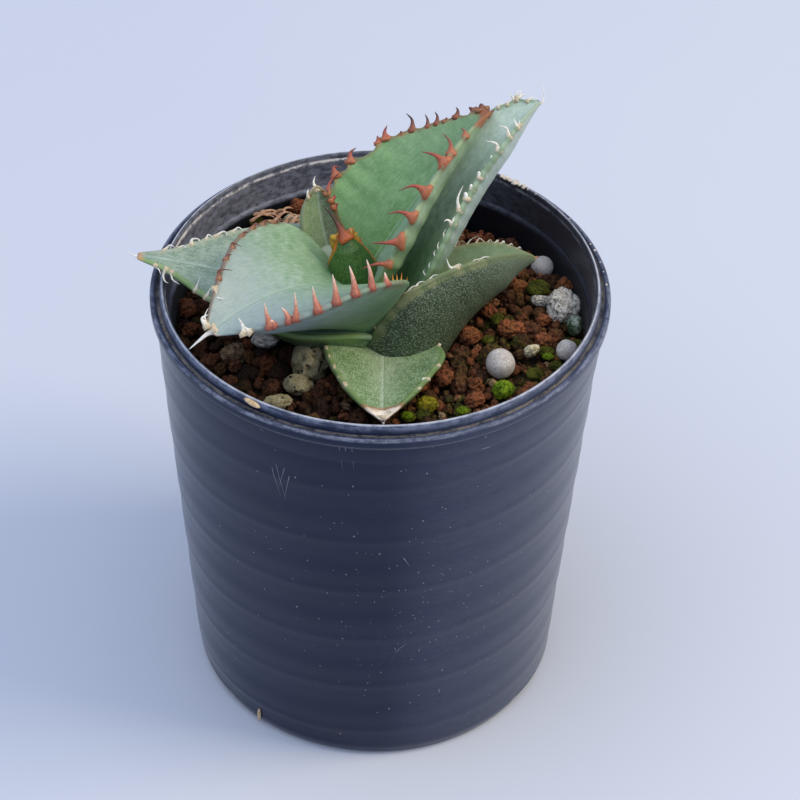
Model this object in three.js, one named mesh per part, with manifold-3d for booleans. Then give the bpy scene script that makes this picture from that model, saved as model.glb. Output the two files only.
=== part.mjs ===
// A young agave in a round plastic nursery pot.
// Millimetres, +Z up. Origin on the floor plane under the pot's centre; -Y is the side seen in the photo.
import * as THREE from "three";
import { mergeVertices } from "three/addons/utils/BufferGeometryUtils.js";
import Module from "manifold-3d";

const wasm = await Module();
wasm.setup();
const { Manifold, Mesh } = wasm;

// Pot
const LEDGE_RADIUS = 45;
const LEDGE_HEIGHT = 94.5;
const LIP_TOP = 96.4;
const LIP_OUTER_RADIUS = 42.9;
const LIP_INNER_RADIUS = 42.1;
const GROOVE_DEPTH = 0.9;
const WALL_BASE_RADIUS = 37.7;
const WALL_TOP_RADIUS = 44.2;
const RING_PITCH = 14.5;
const RING_FIRST = 15;
const RING_JUMP = 0.4;
const RING_TILT = 2.4;
const STEP_HEIGHT = 88.6;
const STEP_RADIUS = 41;
const INNER_BASE_RADIUS = 36.1;
const FLOOR_THICKNESS = 3.2;
const FOOT_RECESS = 1.6;
const NOTCH_AZIMUTHS = [206, 326, 86];
const DRAIN_HOLES = 6;
const DRAIN_RADIUS = 3.2;
const DRAIN_CIRCLE = 17;
const POT_SEGMENTS = 44;

// Bed
const SOIL_HEIGHT = 85.5;
const BACK_DIP = 3;
const GAP = 0.3;
const CRUMB_STEP = 3.05;

// Repeatable random numbers
function makeRandom(seed) {
  let s = seed >>> 0;
  return () => {
    s = (s + 0x6d2b79f5) >>> 0;
    let t = s;
    t = Math.imul(t ^ (t >>> 15), t | 1);
    t ^= t + Math.imul(t ^ (t >>> 7), t | 61);
    return ((t ^ (t >>> 14)) >>> 0) / 4294967296;
  };
}

const rad = (degrees) => (degrees * Math.PI) / 180;
const mix = (a, b, t) => a + (b - a) * t;

function solidFrom(points, triangles) {
  const vertProperties = new Float32Array(points.length * 3);
  points.forEach((p, i) => vertProperties.set([p[0], p[1], p[2]], i * 3));
  const triVerts = new Uint32Array(triangles.flat());
  return new Manifold(new Mesh({ numProp: 3, vertProperties, triVerts }));
}

// A closed three.js geometry as a solid
function solidOf(geometry) {
  const bare = geometry.index ? geometry.toNonIndexed() : geometry.clone();
  bare.deleteAttribute("normal");
  bare.deleteAttribute("uv");
  const merged = mergeVertices(bare, 1e-4);
  const triVerts = [];
  const corners = merged.index.array;
  for (let i = 0; i < corners.length; i += 3) {
    const [a, b, c] = [corners[i], corners[i + 1], corners[i + 2]];
    if (a !== b && b !== c && c !== a) triVerts.push(a, b, c);
  }
  const vertProperties = new Float32Array(merged.getAttribute("position").array);
  return new Manifold(new Mesh({ numProp: 3, vertProperties, triVerts: new Uint32Array(triVerts) }));
}

// An upright cylinder or cone, from its lowest face to its highest
function upright(lowRadius, highRadius, low, high, segments) {
  const geometry = new THREE.CylinderGeometry(highRadius, lowRadius, high - low, segments);
  return geometry.rotateX(Math.PI / 2).translate(0, 0, (low + high) / 2);
}

// A turned shape whose rings may lie a little tilted: each profile point is [radius, height, tilt share]
function turned(profile, segments) {
  const points = profile.map(([r, z]) => new THREE.Vector2(r, z));
  const geometry = new THREE.LatheGeometry(points, segments).rotateX(Math.PI / 2);
  const position = geometry.getAttribute("position");
  for (let i = 0; i < position.count; i++) {
    const tilt = profile[i % profile.length][2] ?? 0;
    const across = position.getX(i) / (profile[i % profile.length][0] || 1);
    position.setZ(i, position.getZ(i) + tilt * RING_TILT * across);
  }
  return solidOf(geometry);
}

function buildPot() {
  const wall = (z) => mix(WALL_BASE_RADIUS, WALL_TOP_RADIUS, z / LEDGE_HEIGHT);
  const outer = [
    [0, 0],
    [6, 0],
    [6.8, FOOT_RECESS],
    [31.5, FOOT_RECESS],
    [32.3, 0],
    [35.9, 0],
    [37.2, 0.9],
    [wall(3), 3],
  ];
  for (let k = 0; k < 5; k++) {
    const z = RING_FIRST + RING_PITCH * k;
    outer.push([wall(z - 0.7) + RING_JUMP / 2, z - 0.7, 1]);
    outer.push([wall(z + 0.9) - RING_JUMP / 2, z + 0.9, 1]);
  }
  const rim = [
    [wall(88.4) + 0.1, 88.4, 0.1],
    [wall(91.8) - 0.1, 91.8],
    [LEDGE_RADIUS - 0.35, 92.5],
    [LEDGE_RADIUS, 92.9],
    [LEDGE_RADIUS, LEDGE_HEIGHT - 0.35],
    [LEDGE_RADIUS - 0.35, LEDGE_HEIGHT],
    [LIP_OUTER_RADIUS + 0.75, LEDGE_HEIGHT],
    [LIP_OUTER_RADIUS + 0.45, LEDGE_HEIGHT - GROOVE_DEPTH],
    [LIP_OUTER_RADIUS + 0.05, LEDGE_HEIGHT - GROOVE_DEPTH],
    [LIP_OUTER_RADIUS, LIP_TOP - 0.2],
    [LIP_OUTER_RADIUS - 0.2, LIP_TOP],
    [LIP_INNER_RADIUS + 0.15, LIP_TOP],
    [LIP_INNER_RADIUS, LIP_TOP - 0.2],
    [LIP_INNER_RADIUS, LIP_TOP - 1.2],
    [LIP_INNER_RADIUS - 0.25, LIP_TOP - 1.4],
    [LIP_INNER_RADIUS - 0.35, STEP_HEIGHT + 0.4],
    [STEP_RADIUS + 0.3, STEP_HEIGHT],
    [STEP_RADIUS, STEP_HEIGHT - 0.5],
    [STEP_RADIUS - 0.15, STEP_HEIGHT - 3],
    [INNER_BASE_RADIUS, FLOOR_THICKNESS + 1.2],
    [35, FLOOR_THICKNESS],
    [0, FLOOR_THICKNESS],
  ];
  let pot = turned([...outer, ...rim], POT_SEGMENTS);
  for (const azimuth of NOTCH_AZIMUTHS) {
    const notch = new THREE.BoxGeometry(5, 7, 3.4).translate(38.1, 0, 1.2).rotateZ(rad(azimuth));
    pot = pot.subtract(solidOf(notch));
  }
  for (let k = 0; k < DRAIN_HOLES; k++) {
    const hole = upright(DRAIN_RADIUS, DRAIN_RADIUS, -2, FLOOR_THICKNESS + 2, 12)
      .translate(DRAIN_CIRCLE, 0, 0)
      .rotateZ(rad((360 * k) / DRAIN_HOLES + 26));
    pot = pot.subtract(solidOf(hole));
  }
  return pot;
}

// Leaves. base is the middle of the leaf foot. azimuth, rise and roll run from the foot to the tip,
// in degrees; halfWidths sit at 0, 0.3, 0.6 and 0.85 of the length; fold lifts both halves;
// share widens the left half. Teeth stand at these shares of the length on each margin, left and
// right seen from the stem; tooth is [out, along, up, length].
const LEAVES = {
  leaf_front: {
    base: [1, -8, 87.6],
    azimuth: [270, 271],
    rise: [8, 7],
    length: 27.2,
    halfWidths: [8.4, 11.4, 8.4, 4],
    fold: [17, 17],
    roll: [-8, 6],
    share: 0,
    thick: [4.6, 4.2, 2.2],
    left: [0.36, 0.43, 0.5, 0.56, 0.63, 0.7, 0.78, 0.87],
    right: [0.3, 0.4, 0.47, 0.53, 0.58, 0.66, 0.74, 0.82, 0.9],
    leftTooth: [0.7, 0.25, 0.6, 1.5],
    rightTooth: [0.7, 0.25, 0.6, 1.5],
    spine: [1.5, 1.5, 0],
  },
  leaf_right: {
    base: [1.4, -5.4, 83.4],
    azimuth: [28, 17.5],
    rise: [52, -2],
    length: 35.5,
    halfWidths: [8.6, 13.8, 10.3, 6.6],
    fold: [34, 28],
    roll: [-36, -27],
    share: 0,
    thick: [12, 7.2, 2.8],
    left: [0.5, 0.56, 0.61, 0.66, 0.7, 0.75, 0.8, 0.86],
    right: [0.09, 0.18, 0.25, 0.32, 0.39, 0.46, 0.53, 0.61, 0.68, 0.76],
    leftTooth: [0.5, -0.3, 0.8, 1.9],
    rightTooth: [0.6, -0.2, 0.75, 1.9],
    spine: [0.9, 0.8, 0],
  },
  leaf_left: {
    base: [-2.3, -2.6, 90],
    azimuth: [179.5, 174.5],
    rise: [24, 3.5],
    length: 46.5,
    halfWidths: [9.4, 14.6, 9.5, 2.6],
    fold: [20, 12.5],
    roll: [-4, -23],
    share: 0.06,
    thick: [13, 6.5, 2.4],
    left: [0.08, 0.14, 0.2, 0.27, 0.4, 0.5, 0.6, 0.68, 0.74, 0.82, 0.88],
    right: [0.56, 0.62, 0.68, 0.73, 0.78, 0.83, 0.88, 0.93],
    leftTooth: [0.55, 0.3, 0.8, 2.3],
    rightTooth: [0.6, -0.5, 0.6, 1.9],
    spine: [2.2, 0.7, 4],
  },
  leaf_near_left: {
    base: [-3, -2.2, 94.2],
    azimuth: [220, 221],
    rise: [49, -19],
    length: 40.5,
    halfWidths: [7, 17, 14.2, 6.6],
    fold: [22, 25],
    roll: [31, -22],
    share: 0.05,
    thick: [9, 8, 2.8],
    left: [0.38, 0.43, 0.48, 0.55, 0.62, 0.69, 0.76, 0.83, 0.9],
    right: [0.4, 0.48, 0.54, 0.6, 0.66, 0.72, 0.78, 0.84, 0.9],
    leftTooth: [0.1, 0, 1, 4.2],
    rightTooth: [0.85, -0.3, 0.4, 1.6],
    spine: [7, 1.5, 0],
  },
  leaf_outer_tall: {
    base: [1.6, 3.3, 89.5],
    azimuth: [36, 29],
    rise: [59.5, 33],
    length: 49,
    halfWidths: [8.5, 11, 8.6, 7],
    fold: [34.5, 36.5],
    roll: [8, -13],
    share: -0.27,
    thick: [5, 4, 1.5],
    left: [0.3, 0.4, 0.5, 0.6, 0.68, 0.75, 0.82, 0.9, 0.95],
    right: [0.35, 0.4, 0.48, 0.52, 0.57, 0.61, 0.66, 0.73, 0.77, 0.83, 0.89, 0.95],
    leftTooth: [0.6, 0.2, 0.75, 1.8],
    rightTooth: [0.5, 0.1, 0.85, 2.2],
    spine: [2.4, 0.7, 60],
  },
  leaf_inner_tall: {
    base: [-5, 2.4, 92.3],
    azimuth: [37, 34.5],
    rise: [53, 34.5],
    length: 43.6,
    halfWidths: [7.9, 14.9, 12.8, 5.8],
    fold: [35, 25.5],
    roll: [0, -34],
    share: 0,
    thick: [5, 2.8, 1.5],
    left: [0.25, 0.3, 0.36, 0.44, 0.5, 0.56, 0.6, 0.65, 0.7, 0.75, 0.8, 0.87, 0.94],
    right: [0.2, 0.33, 0.44, 0.55, 0.69, 0.77, 0.84, 0.92],
    leftTooth: [0.75, 0.25, 0.55, 2.1],
    rightTooth: [-0.15, -0.35, 0.95, 3.2],
    spine: [1, 1, 0],
  },
  leaf_small_back: {
    base: [-6.6, 4, 87.5],
    azimuth: [140, 135],
    rise: [55, 86],
    length: 25.6,
    halfWidths: [5, 6.5, 4, 2.8],
    fold: [22, 13],
    roll: [-14, -22],
    share: 0.12,
    thick: [3, 2.6, 1.5],
    left: [0.4, 0.6, 0.8],
    right: [0.4, 0.6, 0.8],
    leftTooth: [0.9, 0.3, 0.3, 0.9],
    rightTooth: [0.9, 0.3, 0.3, 0.9],
    spine: [2.2, 0.8, 0],
  },
  leaf_back: {
    base: [2, 5, 87.4],
    azimuth: [84, 82],
    rise: [34, 14],
    length: 27,
    halfWidths: [7, 9.6, 7.4, 3.6],
    fold: [24, 20],
    roll: [0, 0],
    share: 0,
    thick: [5, 4, 2],
    left: [0.35, 0.5, 0.62, 0.74, 0.86],
    right: [0.35, 0.5, 0.62, 0.74, 0.86],
    leftTooth: [0.8, 0.2, 0.5, 1.5],
    rightTooth: [0.8, 0.2, 0.5, 1.5],
    spine: [1.8, 0.9, 0],
  },
  leaf_centre: {
    base: [-5, -1.2, 92.4],
    azimuth: [293, 313],
    rise: [92, 118],
    length: 14,
    halfWidths: [5.4, 7.4, 5.8, 3.4],
    fold: [48, 44],
    roll: [-40, -18],
    share: 0.13,
    thick: [4, 3, 1.5],
    left: [0.3, 0.4, 0.5, 0.6, 0.7, 0.8, 0.9],
    right: [0.25, 0.4, 0.55, 0.7, 0.85],
    leftTooth: [0.9, 0.1, 0.2, 1],
    rightTooth: [0.9, 0.1, 0.2, 1],
    spine: [6.4, 1.7, 0],
  },
};

// Width along the leaf: a smooth curve through the four half widths down to the tip.
function widthAt(halfWidths, t) {
  const knots = [0, 0.3, 0.6, 0.85, 1];
  const values = [...halfWidths, 0.7];
  let i = 0;
  while (i < 3 && t > knots[i + 1]) i++;
  const h = knots[i + 1] - knots[i];
  const s = (t - knots[i]) / h;
  const slope = (k) => {
    if (k === 0) return (values[1] - values[0]) / (knots[1] - knots[0]);
    if (k === 4) return ((values[4] - values[3]) / (knots[4] - knots[3])) * 1.15;
    return (values[k + 1] - values[k - 1]) / (knots[k + 1] - knots[k - 1]);
  };
  const h00 = 2 * s ** 3 - 3 * s ** 2 + 1;
  const h10 = s ** 3 - 2 * s ** 2 + s;
  const h01 = -2 * s ** 3 + 3 * s ** 2;
  const h11 = s ** 3 - s ** 2;
  return h00 * values[i] + h10 * h * slope(i) + h01 * values[i + 1] + h11 * h * slope(i + 1);
}

// Frames along the midrib: position, tangent, side (to the left) and normal (the inner face).
function midrib(leaf, steps) {
  const frames = [];
  const at = new THREE.Vector3(...leaf.base);
  let before = null;
  for (let i = 0; i <= steps; i++) {
    const t = i / steps;
    const az = rad(mix(leaf.azimuth[0], leaf.azimuth[1], t));
    const el = rad(mix(leaf.rise[0], leaf.rise[1], t));
    const tangent = new THREE.Vector3(
      Math.cos(el) * Math.cos(az),
      Math.cos(el) * Math.sin(az),
      Math.sin(el),
    );
    if (before) {
      const step = before.clone().add(tangent);
      at.addScaledVector(step, leaf.length / steps / 2);
    }
    before = tangent;
    const side = new THREE.Vector3(-Math.sin(az), Math.cos(az), 0);
    const normal = tangent.clone().cross(side);
    const roll = rad(mix(leaf.roll[0], leaf.roll[1], t));
    side.applyAxisAngle(tangent, roll);
    normal.applyAxisAngle(tangent, roll);
    frames.push({ t, at: at.clone(), tangent, side, normal });
  }
  return frames;
}

// A point of the inner face; u runs from 1 at the left margin to -1 at the right margin.
function facePoint(leaf, frame, u, extra) {
  const half = widthAt(leaf.halfWidths, frame.t);
  const share = u > 0 ? 1 + leaf.share : 1 - leaf.share;
  const w = half * share + extra;
  const fold = rad(mix(leaf.fold[0], leaf.fold[1], frame.t));
  const size = Math.abs(u);
  const lift = fold * (0.55 + 0.45 * size);
  const across = Math.sign(u) * Math.cos(lift) * w * size;
  const up = Math.sin(lift) * w * size;
  const point = frame.at.clone();
  point.addScaledVector(frame.side, across);
  point.addScaledVector(frame.normal, up);
  const turn = fold * (0.55 + 0.9 * size) * Math.sign(u || 0);
  const out = frame.normal.clone().multiplyScalar(Math.cos(turn));
  out.addScaledVector(frame.side, -Math.sin(turn));
  return { point, out };
}

const EDGE_THICK = 1.5;
const LEAF_STEPS = 11;

// Thickness at the midrib: foot, middle and near the tip.
function thickAt(leaf, t) {
  const [foot, middle, tip] = leaf.thick;
  return t < 0.5 ? mix(foot, middle, t / 0.5) : mix(middle, tip, (t - 0.5) / 0.5);
}

function blade(leaf, steps, grow) {
  const across = [1, 0.66, 0.3, 0, -0.3, -0.66, -1];
  const below = [1, 0.6, 0, -0.6, -1];
  const points = [];
  const triangles = [];
  const rings = [];
  const frames = midrib(leaf, steps);
  for (const frame of frames) {
    const ring = [];
    const taper = Math.min(1, 0.35 + 3 * (1 - frame.t));
    const top = across.map((u) => {
      const { point, out } = facePoint(leaf, frame, u, grow);
      return point.addScaledVector(out, Math.abs(u) === 1 ? -0.3 * EDGE_THICK * taper : grow);
    });
    const under = below.map((u) => {
      const edge = Math.abs(u) === 1;
      const { point, out } = facePoint(leaf, frame, edge ? u * 0.95 : u, grow);
      const hump = 1 - Math.abs(u) ** 1.8;
      const depth = (EDGE_THICK + (thickAt(leaf, frame.t) - EDGE_THICK) * hump) * taper;
      return point.addScaledVector(out, -(edge ? 0.75 * depth : depth) - grow);
    });
    for (const p of [...top, ...under.reverse()]) {
      ring.push(points.length);
      points.push([p.x, p.y, p.z]);
    }
    rings.push(ring);
  }
  const n = rings[0].length;
  for (let i = 0; i + 1 < rings.length; i++) {
    for (let k = 0; k < n; k++) {
      const m = (k + 1) % n;
      const a = rings[i][k];
      const b = rings[i][m];
      const c = rings[i + 1][m];
      const d = rings[i + 1][k];
      triangles.push([a, b, c], [a, c, d]);
    }
  }
  for (const [ring, flip] of [[rings[0], false], [rings[rings.length - 1], true]]) {
    const middle = [0, 0, 0];
    for (const v of ring) for (let j = 0; j < 3; j++) middle[j] += points[v][j] / n;
    points.push(middle);
    const c = points.length - 1;
    for (let k = 0; k < n; k++) {
      const m = (k + 1) % n;
      triangles.push(flip ? [ring[k], ring[m], c] : [ring[m], ring[k], c]);
    }
  }
  return { solid: solidFrom(points, triangles), frames };
}

// A bent cone with few sides, its root sunk into the leaf.
function thorn(root, direction, bend, length, radius, sides) {
  const points = [];
  const triangles = [];
  const stations = [
    [-0.9 / length, 1],
    [0.5, 0.6],
  ];
  const d = direction.clone().normalize();
  const helper = Math.abs(d.z) < 0.8 ? new THREE.Vector3(0, 0, 1) : new THREE.Vector3(1, 0, 0);
  const a = d.clone().cross(helper).normalize();
  const b = d.clone().cross(a).normalize();
  const centre = (s) =>
    root
      .clone()
      .addScaledVector(d, s * length)
      .addScaledVector(bend, Math.max(0, s) ** 2 * length);
  stations.forEach(([s, size]) => {
    const c = centre(s);
    for (let k = 0; k < sides; k++) {
      const q = (2 * Math.PI * k) / sides;
      const p = c
        .clone()
        .addScaledVector(a, Math.cos(q) * radius * size)
        .addScaledVector(b, Math.sin(q) * radius * size);
      points.push([p.x, p.y, p.z]);
    }
  });
  const tip = centre(1);
  points.push([tip.x, tip.y, tip.z]);
  const last = points.length - 1;
  const foot = centre(stations[0][0]);
  points.push([foot.x, foot.y, foot.z]);
  const bottom = points.length - 1;
  for (let k = 0; k < sides; k++) {
    const m = (k + 1) % sides;
    triangles.push([m, k, bottom]);
    triangles.push([k, m, sides + m], [k, sides + m, sides + k]);
    triangles.push([sides + k, sides + m, last]);
  }
  const made = solidFrom(points, triangles);
  return made.volume() < 0 ? solidFrom(points, triangles.map(([x, y, z]) => [x, z, y])) : made;
}

function frameAt(frames, t) {
  const i = Math.min(frames.length - 2, Math.floor(t * (frames.length - 1)));
  const s = t * (frames.length - 1) - i;
  const a = frames[i];
  const b = frames[i + 1];
  return {
    t,
    at: a.at.clone().lerp(b.at, s),
    tangent: a.tangent.clone().lerp(b.tangent, s).normalize(),
    side: a.side.clone().lerp(b.side, s).normalize(),
    normal: a.normal.clone().lerp(b.normal, s).normalize(),
  };
}

// grow makes the same leaf a little larger all round, to cut a clear seat for it in its neighbours
function buildLeaf(name, leaf, grow) {
  const random = makeRandom(name.length * 7919 + Math.round(leaf.length * 31));
  const { solid, frames } = blade(leaf, LEAF_STEPS, grow);
  const parts = [solid];
  for (const [list, sign, tooth] of [
    [leaf.left, 1, leaf.leftTooth],
    [leaf.right, -1, leaf.rightTooth],
  ]) {
    for (const t of list) {
      const frame = frameAt(frames, t);
      const { point, out } = facePoint(leaf, frame, sign, 0);
      const outward = frame.side.clone().multiplyScalar(sign);
      const direction = outward.multiplyScalar(tooth[0]);
      direction.addScaledVector(frame.tangent, tooth[1] + 0.25 * (random() - 0.5));
      direction.addScaledVector(frame.normal, tooth[2]);
      direction.normalize();
      const bend = frame.tangent.clone().multiplyScalar(0.5 * (random() - 0.3));
      const length = tooth[3] * (0.8 + 0.4 * random()) * (t > 0.85 ? 0.75 : 1);
      const root = point.clone().addScaledVector(out, -0.45).addScaledVector(frame.side, -0.25 * sign);
      const radius = 0.36 + 0.09 * length + grow;
      parts.push(thorn(root, direction, bend, length + 2 * grow, radius, length > 2.6 ? 4 : 3));
    }
  }
  const end = frames[frames.length - 1];
  const [spineLength, spineWidth, lift] = leaf.spine;
  const direction = end.tangent.clone();
  direction.z += Math.tan(rad(lift)) * 0.5;
  const root = end.at.clone().addScaledVector(end.normal, -0.25);
  const none = new THREE.Vector3(0, 0, 0);
  parts.push(thorn(root, direction, none, spineLength + 0.6 + 2 * grow, spineWidth * 0.75 + grow, 6));
  return Manifold.union(parts);
}

// Stones and grains: an icosahedron with jittered corners, squeezed and turned.
function pebble(random, size, rough, detail) {
  const base = new THREE.IcosahedronGeometry(1, detail);
  const position = base.getAttribute("position");
  const seen = new Map();
  const points = [];
  const index = [];
  for (let i = 0; i < position.count; i++) {
    const key = [position.getX(i), position.getY(i), position.getZ(i)]
      .map((v) => v.toFixed(4))
      .join(",");
    if (!seen.has(key)) {
      seen.set(key, points.length);
      const k = 1 + rough * (random() - 0.5);
      points.push([position.getX(i) * k, position.getY(i) * k, position.getZ(i) * k]);
    }
    index.push(seen.get(key));
  }
  const triangles = [];
  for (let i = 0; i < index.length; i += 3) triangles.push([index[i], index[i + 1], index[i + 2]]);
  return solidFrom(points, triangles)
    .rotate([360 * random(), 360 * random(), 360 * random()])
    .scale(size);
}

// Loose pieces on the bed: [x, y, height of centre], [half sizes], roughness, detail, turn.
const STONES = {
  ball_white_front: [[23.5, -14.8, 88.2], [2.7, 2.7, 2.9], 0.06, 1, 0],
  ball_white_back: [[32.5, 19.2, 85.2], [2.2, 2.2, 2.2], 0.06, 1, 0],
  pumice_right: [[36.1, 4.2, 87.6], [3.2, 3.8, 2.9], 0.34, 1, 24],
  pumice_right_lobe: [[31.8, 6.6, 86.6], [1.9, 1.2, 1.2], 0.3, 0, 10],
  stone_mossy: [[38.3, -1, 86.9], [1.5, 2, 2], 0.25, 0, 0],
  stone_pale_right: [[36.5, -8.7, 87], [2, 2, 2], 0.2, 0, 0],
  stone_cream_right: [[29.6, -9.5, 87.2], [1.5, 1.5, 1.9], 0.3, 0, 20],
  moss_green: [[24.1, -20.6, 86.6], [2.1, 2, 1.6], 0.3, 0, 0],
  moss_yellow: [[9.5, -25.2, 86.4], [2, 1.7, 1.4], 0.3, 0, 0],
  clay_right_1: [[25.8, -2.8, 86.9], [2.8, 1.9, 1.7], 0.35, 1, 10],
  clay_right_2: [[17.6, -5, 87], [2.1, 2.3, 2], 0.35, 1, 60],
  clay_right_3: [[32.1, -5.8, 86.7], [1.8, 1.6, 1.4], 0.35, 0, 0],
  clay_right_4: [[27.2, 11.4, 86], [2.2, 1.8, 1.6], 0.35, 0, 30],
  clay_right_5: [[21.2, 3, 86.9], [1.8, 1.7, 1.6], 0.35, 0, 0],
  clay_right_6: [[32.2, 0.8, 86.6], [1.6, 1.4, 1.3], 0.35, 0, 0],
  clay_front: [[12.4, -17.6, 86.8], [2.1, 2.2, 2], 0.35, 0, 0],
  clay_front_low: [[18.7, -23.5, 86.4], [2, 1.9, 1.6], 0.35, 0, 0],
  pumice_front_left: [[-13.2, -15.4, 88], [3.4, 3.8, 3.7], 0.2, 1, 15],
  pumice_front_low: [[-15.3, -20.7, 86.8], [2.8, 2, 1.8], 0.25, 0, 0],
  pumice_left: [[-22.3, -7.9, 87], [2.7, 2, 2], 0.3, 1, 0],
  pumice_front_flat: [[-19.1, -25.6, 86.5], [2.8, 1.6, 1.5], 0.25, 0, -30],
  clay_left_1: [[-37.2, -4.4, 86.4], [2, 2, 1.8], 0.35, 0, 0],
  clay_left_2: [[-38, 1.3, 86.2], [1.7, 1.7, 1.5], 0.35, 0, 0],
  clay_back: [[-17.6, 34.6, 87], [1.9, 1.8, 1.9], 0.3, 0, 0],
  pebble_back: [[-18.9, 31, 86.6], [1.7, 1.2, 1.2], 0.25, 0, 0],
  dry_flake_back: [[-22.9, 28.6, 87.2], [2.3, 1.2, 0.9], 0.3, 0, 40],
};

const largest = (solid) =>
  solid.decompose().reduce((a, b) => (a.volume() > b.volume() ? a : b));

const solids = new Map();
solids.set("pot", buildPot());

// The short stem that carries the leaves
const STEM_RADIUS = 5.2;
const STEM_TAPER = 1.2;
const STEM_LOW = 82;
const STEM_TOP = 91.2;
function buildStem(grow) {
  const wide = STEM_RADIUS + grow;
  const shape = upright(wide, wide - STEM_TAPER, STEM_LOW - grow, STEM_TOP + grow, 12);
  return solidOf(shape.translate(-1, 0.5, 0));
}
const grownStem = buildStem(GAP);
solids.set("stem", buildStem(0));

// Leaves from the front of the plant to the back: each is trimmed clear of those before it.
const ORDER = [
  "leaf_near_left",
  "leaf_inner_tall",
  "leaf_right",
  "leaf_left",
  "leaf_front",
  "leaf_outer_tall",
  "leaf_centre",
  "leaf_small_back",
  "leaf_back",
];
const placed = [grownStem];
const grownLeaves = [];
for (const name of ORDER) {
  let leaf = buildLeaf(name, LEAVES[name], 0);
  for (const other of placed) leaf = leaf.subtract(other);
  leaf = largest(leaf);
  solids.set(name, leaf);
  const grown = buildLeaf(name, LEAVES[name], GAP + 0.05);
  placed.push(grown);
  grownLeaves.push(grown);
}

// Stones, kept clear of the pot wall and of the leaves
const BORE_GAP = 0.35;
const bore = solidOf(upright(INNER_BASE_RADIUS, STEP_RADIUS - BORE_GAP, 4, LIP_TOP, 60));
const grownStones = [];
for (const [name, [centre, half, rough, detail, turn]] of Object.entries(STONES)) {
  const random = makeRandom(name.length * 104729 + Math.round(centre[0] * 17));
  const shape = pebble(random, half, rough, detail).rotate([0, 0, turn]);
  let stone = shape.translate(centre);
  for (const other of [...grownLeaves, ...grownStones]) stone = stone.subtract(other);
  stone = stone.intersect(bore);
  solids.set(name, largest(stone));
  const wide = half.map((v) => (v + GAP + 0.1) / v);
  const again = makeRandom(name.length * 104729 + Math.round(centre[0] * 17));
  grownStones.push(
    pebble(again, half, rough, detail).rotate([0, 0, turn]).scale(wide).translate(centre),
  );
}

// The bed: a plug whose top is a field of crumbs, lower toward the back right
function bedHeight(x, y) {
  const dip = Math.min(1, Math.max(0, (0.34 * x + 0.94 * y - 20) / 21));
  return SOIL_HEIGHT - BACK_DIP * dip * dip * (3 - 2 * dip);
}

function buildSoil() {
  const inner = (z) => mix(INNER_BASE_RADIUS, STEP_RADIUS - 0.15, (z - 4.4) / (STEP_HEIGHT - 7.4)) - GAP;
  const low = FLOOR_THICKNESS + GAP;
  const random = makeRandom(4711);
  const points = [];
  const triangles = [];
  const reach = inner(SOIL_HEIGHT - 3) - 0.15;
  const rings = Math.round(reach / CRUMB_STEP);
  const rows = [];
  for (let i = 0; i <= rings; i++) {
    const r = (reach * i) / rings;
    const count = i === 0 ? 1 : 6 * i;
    const row = [];
    for (let k = 0; k < count; k++) {
      const edge = i === rings;
      const loose = edge || i === 0 ? 0 : 0.55 * CRUMB_STEP;
      const a = (2 * Math.PI * k) / count;
      const x = r * Math.cos(a) + loose * (random() - 0.5);
      const y = r * Math.sin(a) + loose * (random() - 0.5);
      const high = (i + k) % 3 === 0 ? 0.7 + 1.3 * random() : -0.7 + 0.9 * random();
      const z = bedHeight(x, y) + (edge ? -0.6 + 0.5 * random() : high);
      row.push(points.length);
      points.push([x, y, z]);
    }
    rows.push(row);
  }
  for (let i = 1; i <= rings; i++) {
    const a = rows[i - 1];
    const b = rows[i];
    for (let sector = 0; sector < 6; sector++) {
      for (let k = 0; k < i; k++) {
        const o = (n) => b[(sector * i + n) % b.length];
        const q = (n) => a[(sector * (i - 1) + n) % a.length];
        triangles.push([q(k), o(k), o(k + 1)]);
        if (k < i - 1) triangles.push([q(k), o(k + 1), q(k + 1)]);
      }
    }
  }
  // the wall and the floor of the plug
  const top = rows[rings];
  const wall = [];
  for (const [r, z] of [[inner(SOIL_HEIGHT - 12) - 0.15, SOIL_HEIGHT - 12], [34.6, low]]) {
    const row = top.map((v, k) => {
      const a = (2 * Math.PI * k) / top.length;
      points.push([r * Math.cos(a), r * Math.sin(a), z]);
      return points.length - 1;
    });
    wall.push(row);
  }
  points.push([0, 0, low]);
  const centre = points.length - 1;
  for (let k = 0; k < top.length; k++) {
    const m = (k + 1) % top.length;
    triangles.push([top[k], wall[0][k], wall[0][m]], [top[k], wall[0][m], top[m]]);
    triangles.push([wall[0][k], wall[1][k], wall[1][m]], [wall[0][k], wall[1][m], wall[0][m]]);
    triangles.push([wall[1][k], centre, wall[1][m]]);
  }
  let soil = solidFrom(points, triangles);
  for (const other of [grownStem, ...grownLeaves, ...grownStones]) soil = soil.subtract(other);
  return largest(soil);
}
solids.set("soil", buildSoil());

// Colours for the preview
const COLOURS = {
  pot: 0x2c2f3a,
  soil: 0x6b3f2c,
  stem: 0x8a8560,
  leaf: 0x6f9a80,
  ball: 0xd8d6d4,
  pumice: 0xc9c4b4,
  stone: 0xbdb8a2,
  moss: 0x7f9a2c,
  clay: 0x8b4e33,
  pebble: 0xd6bfa0,
  dry: 0xb8946c,
};

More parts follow.
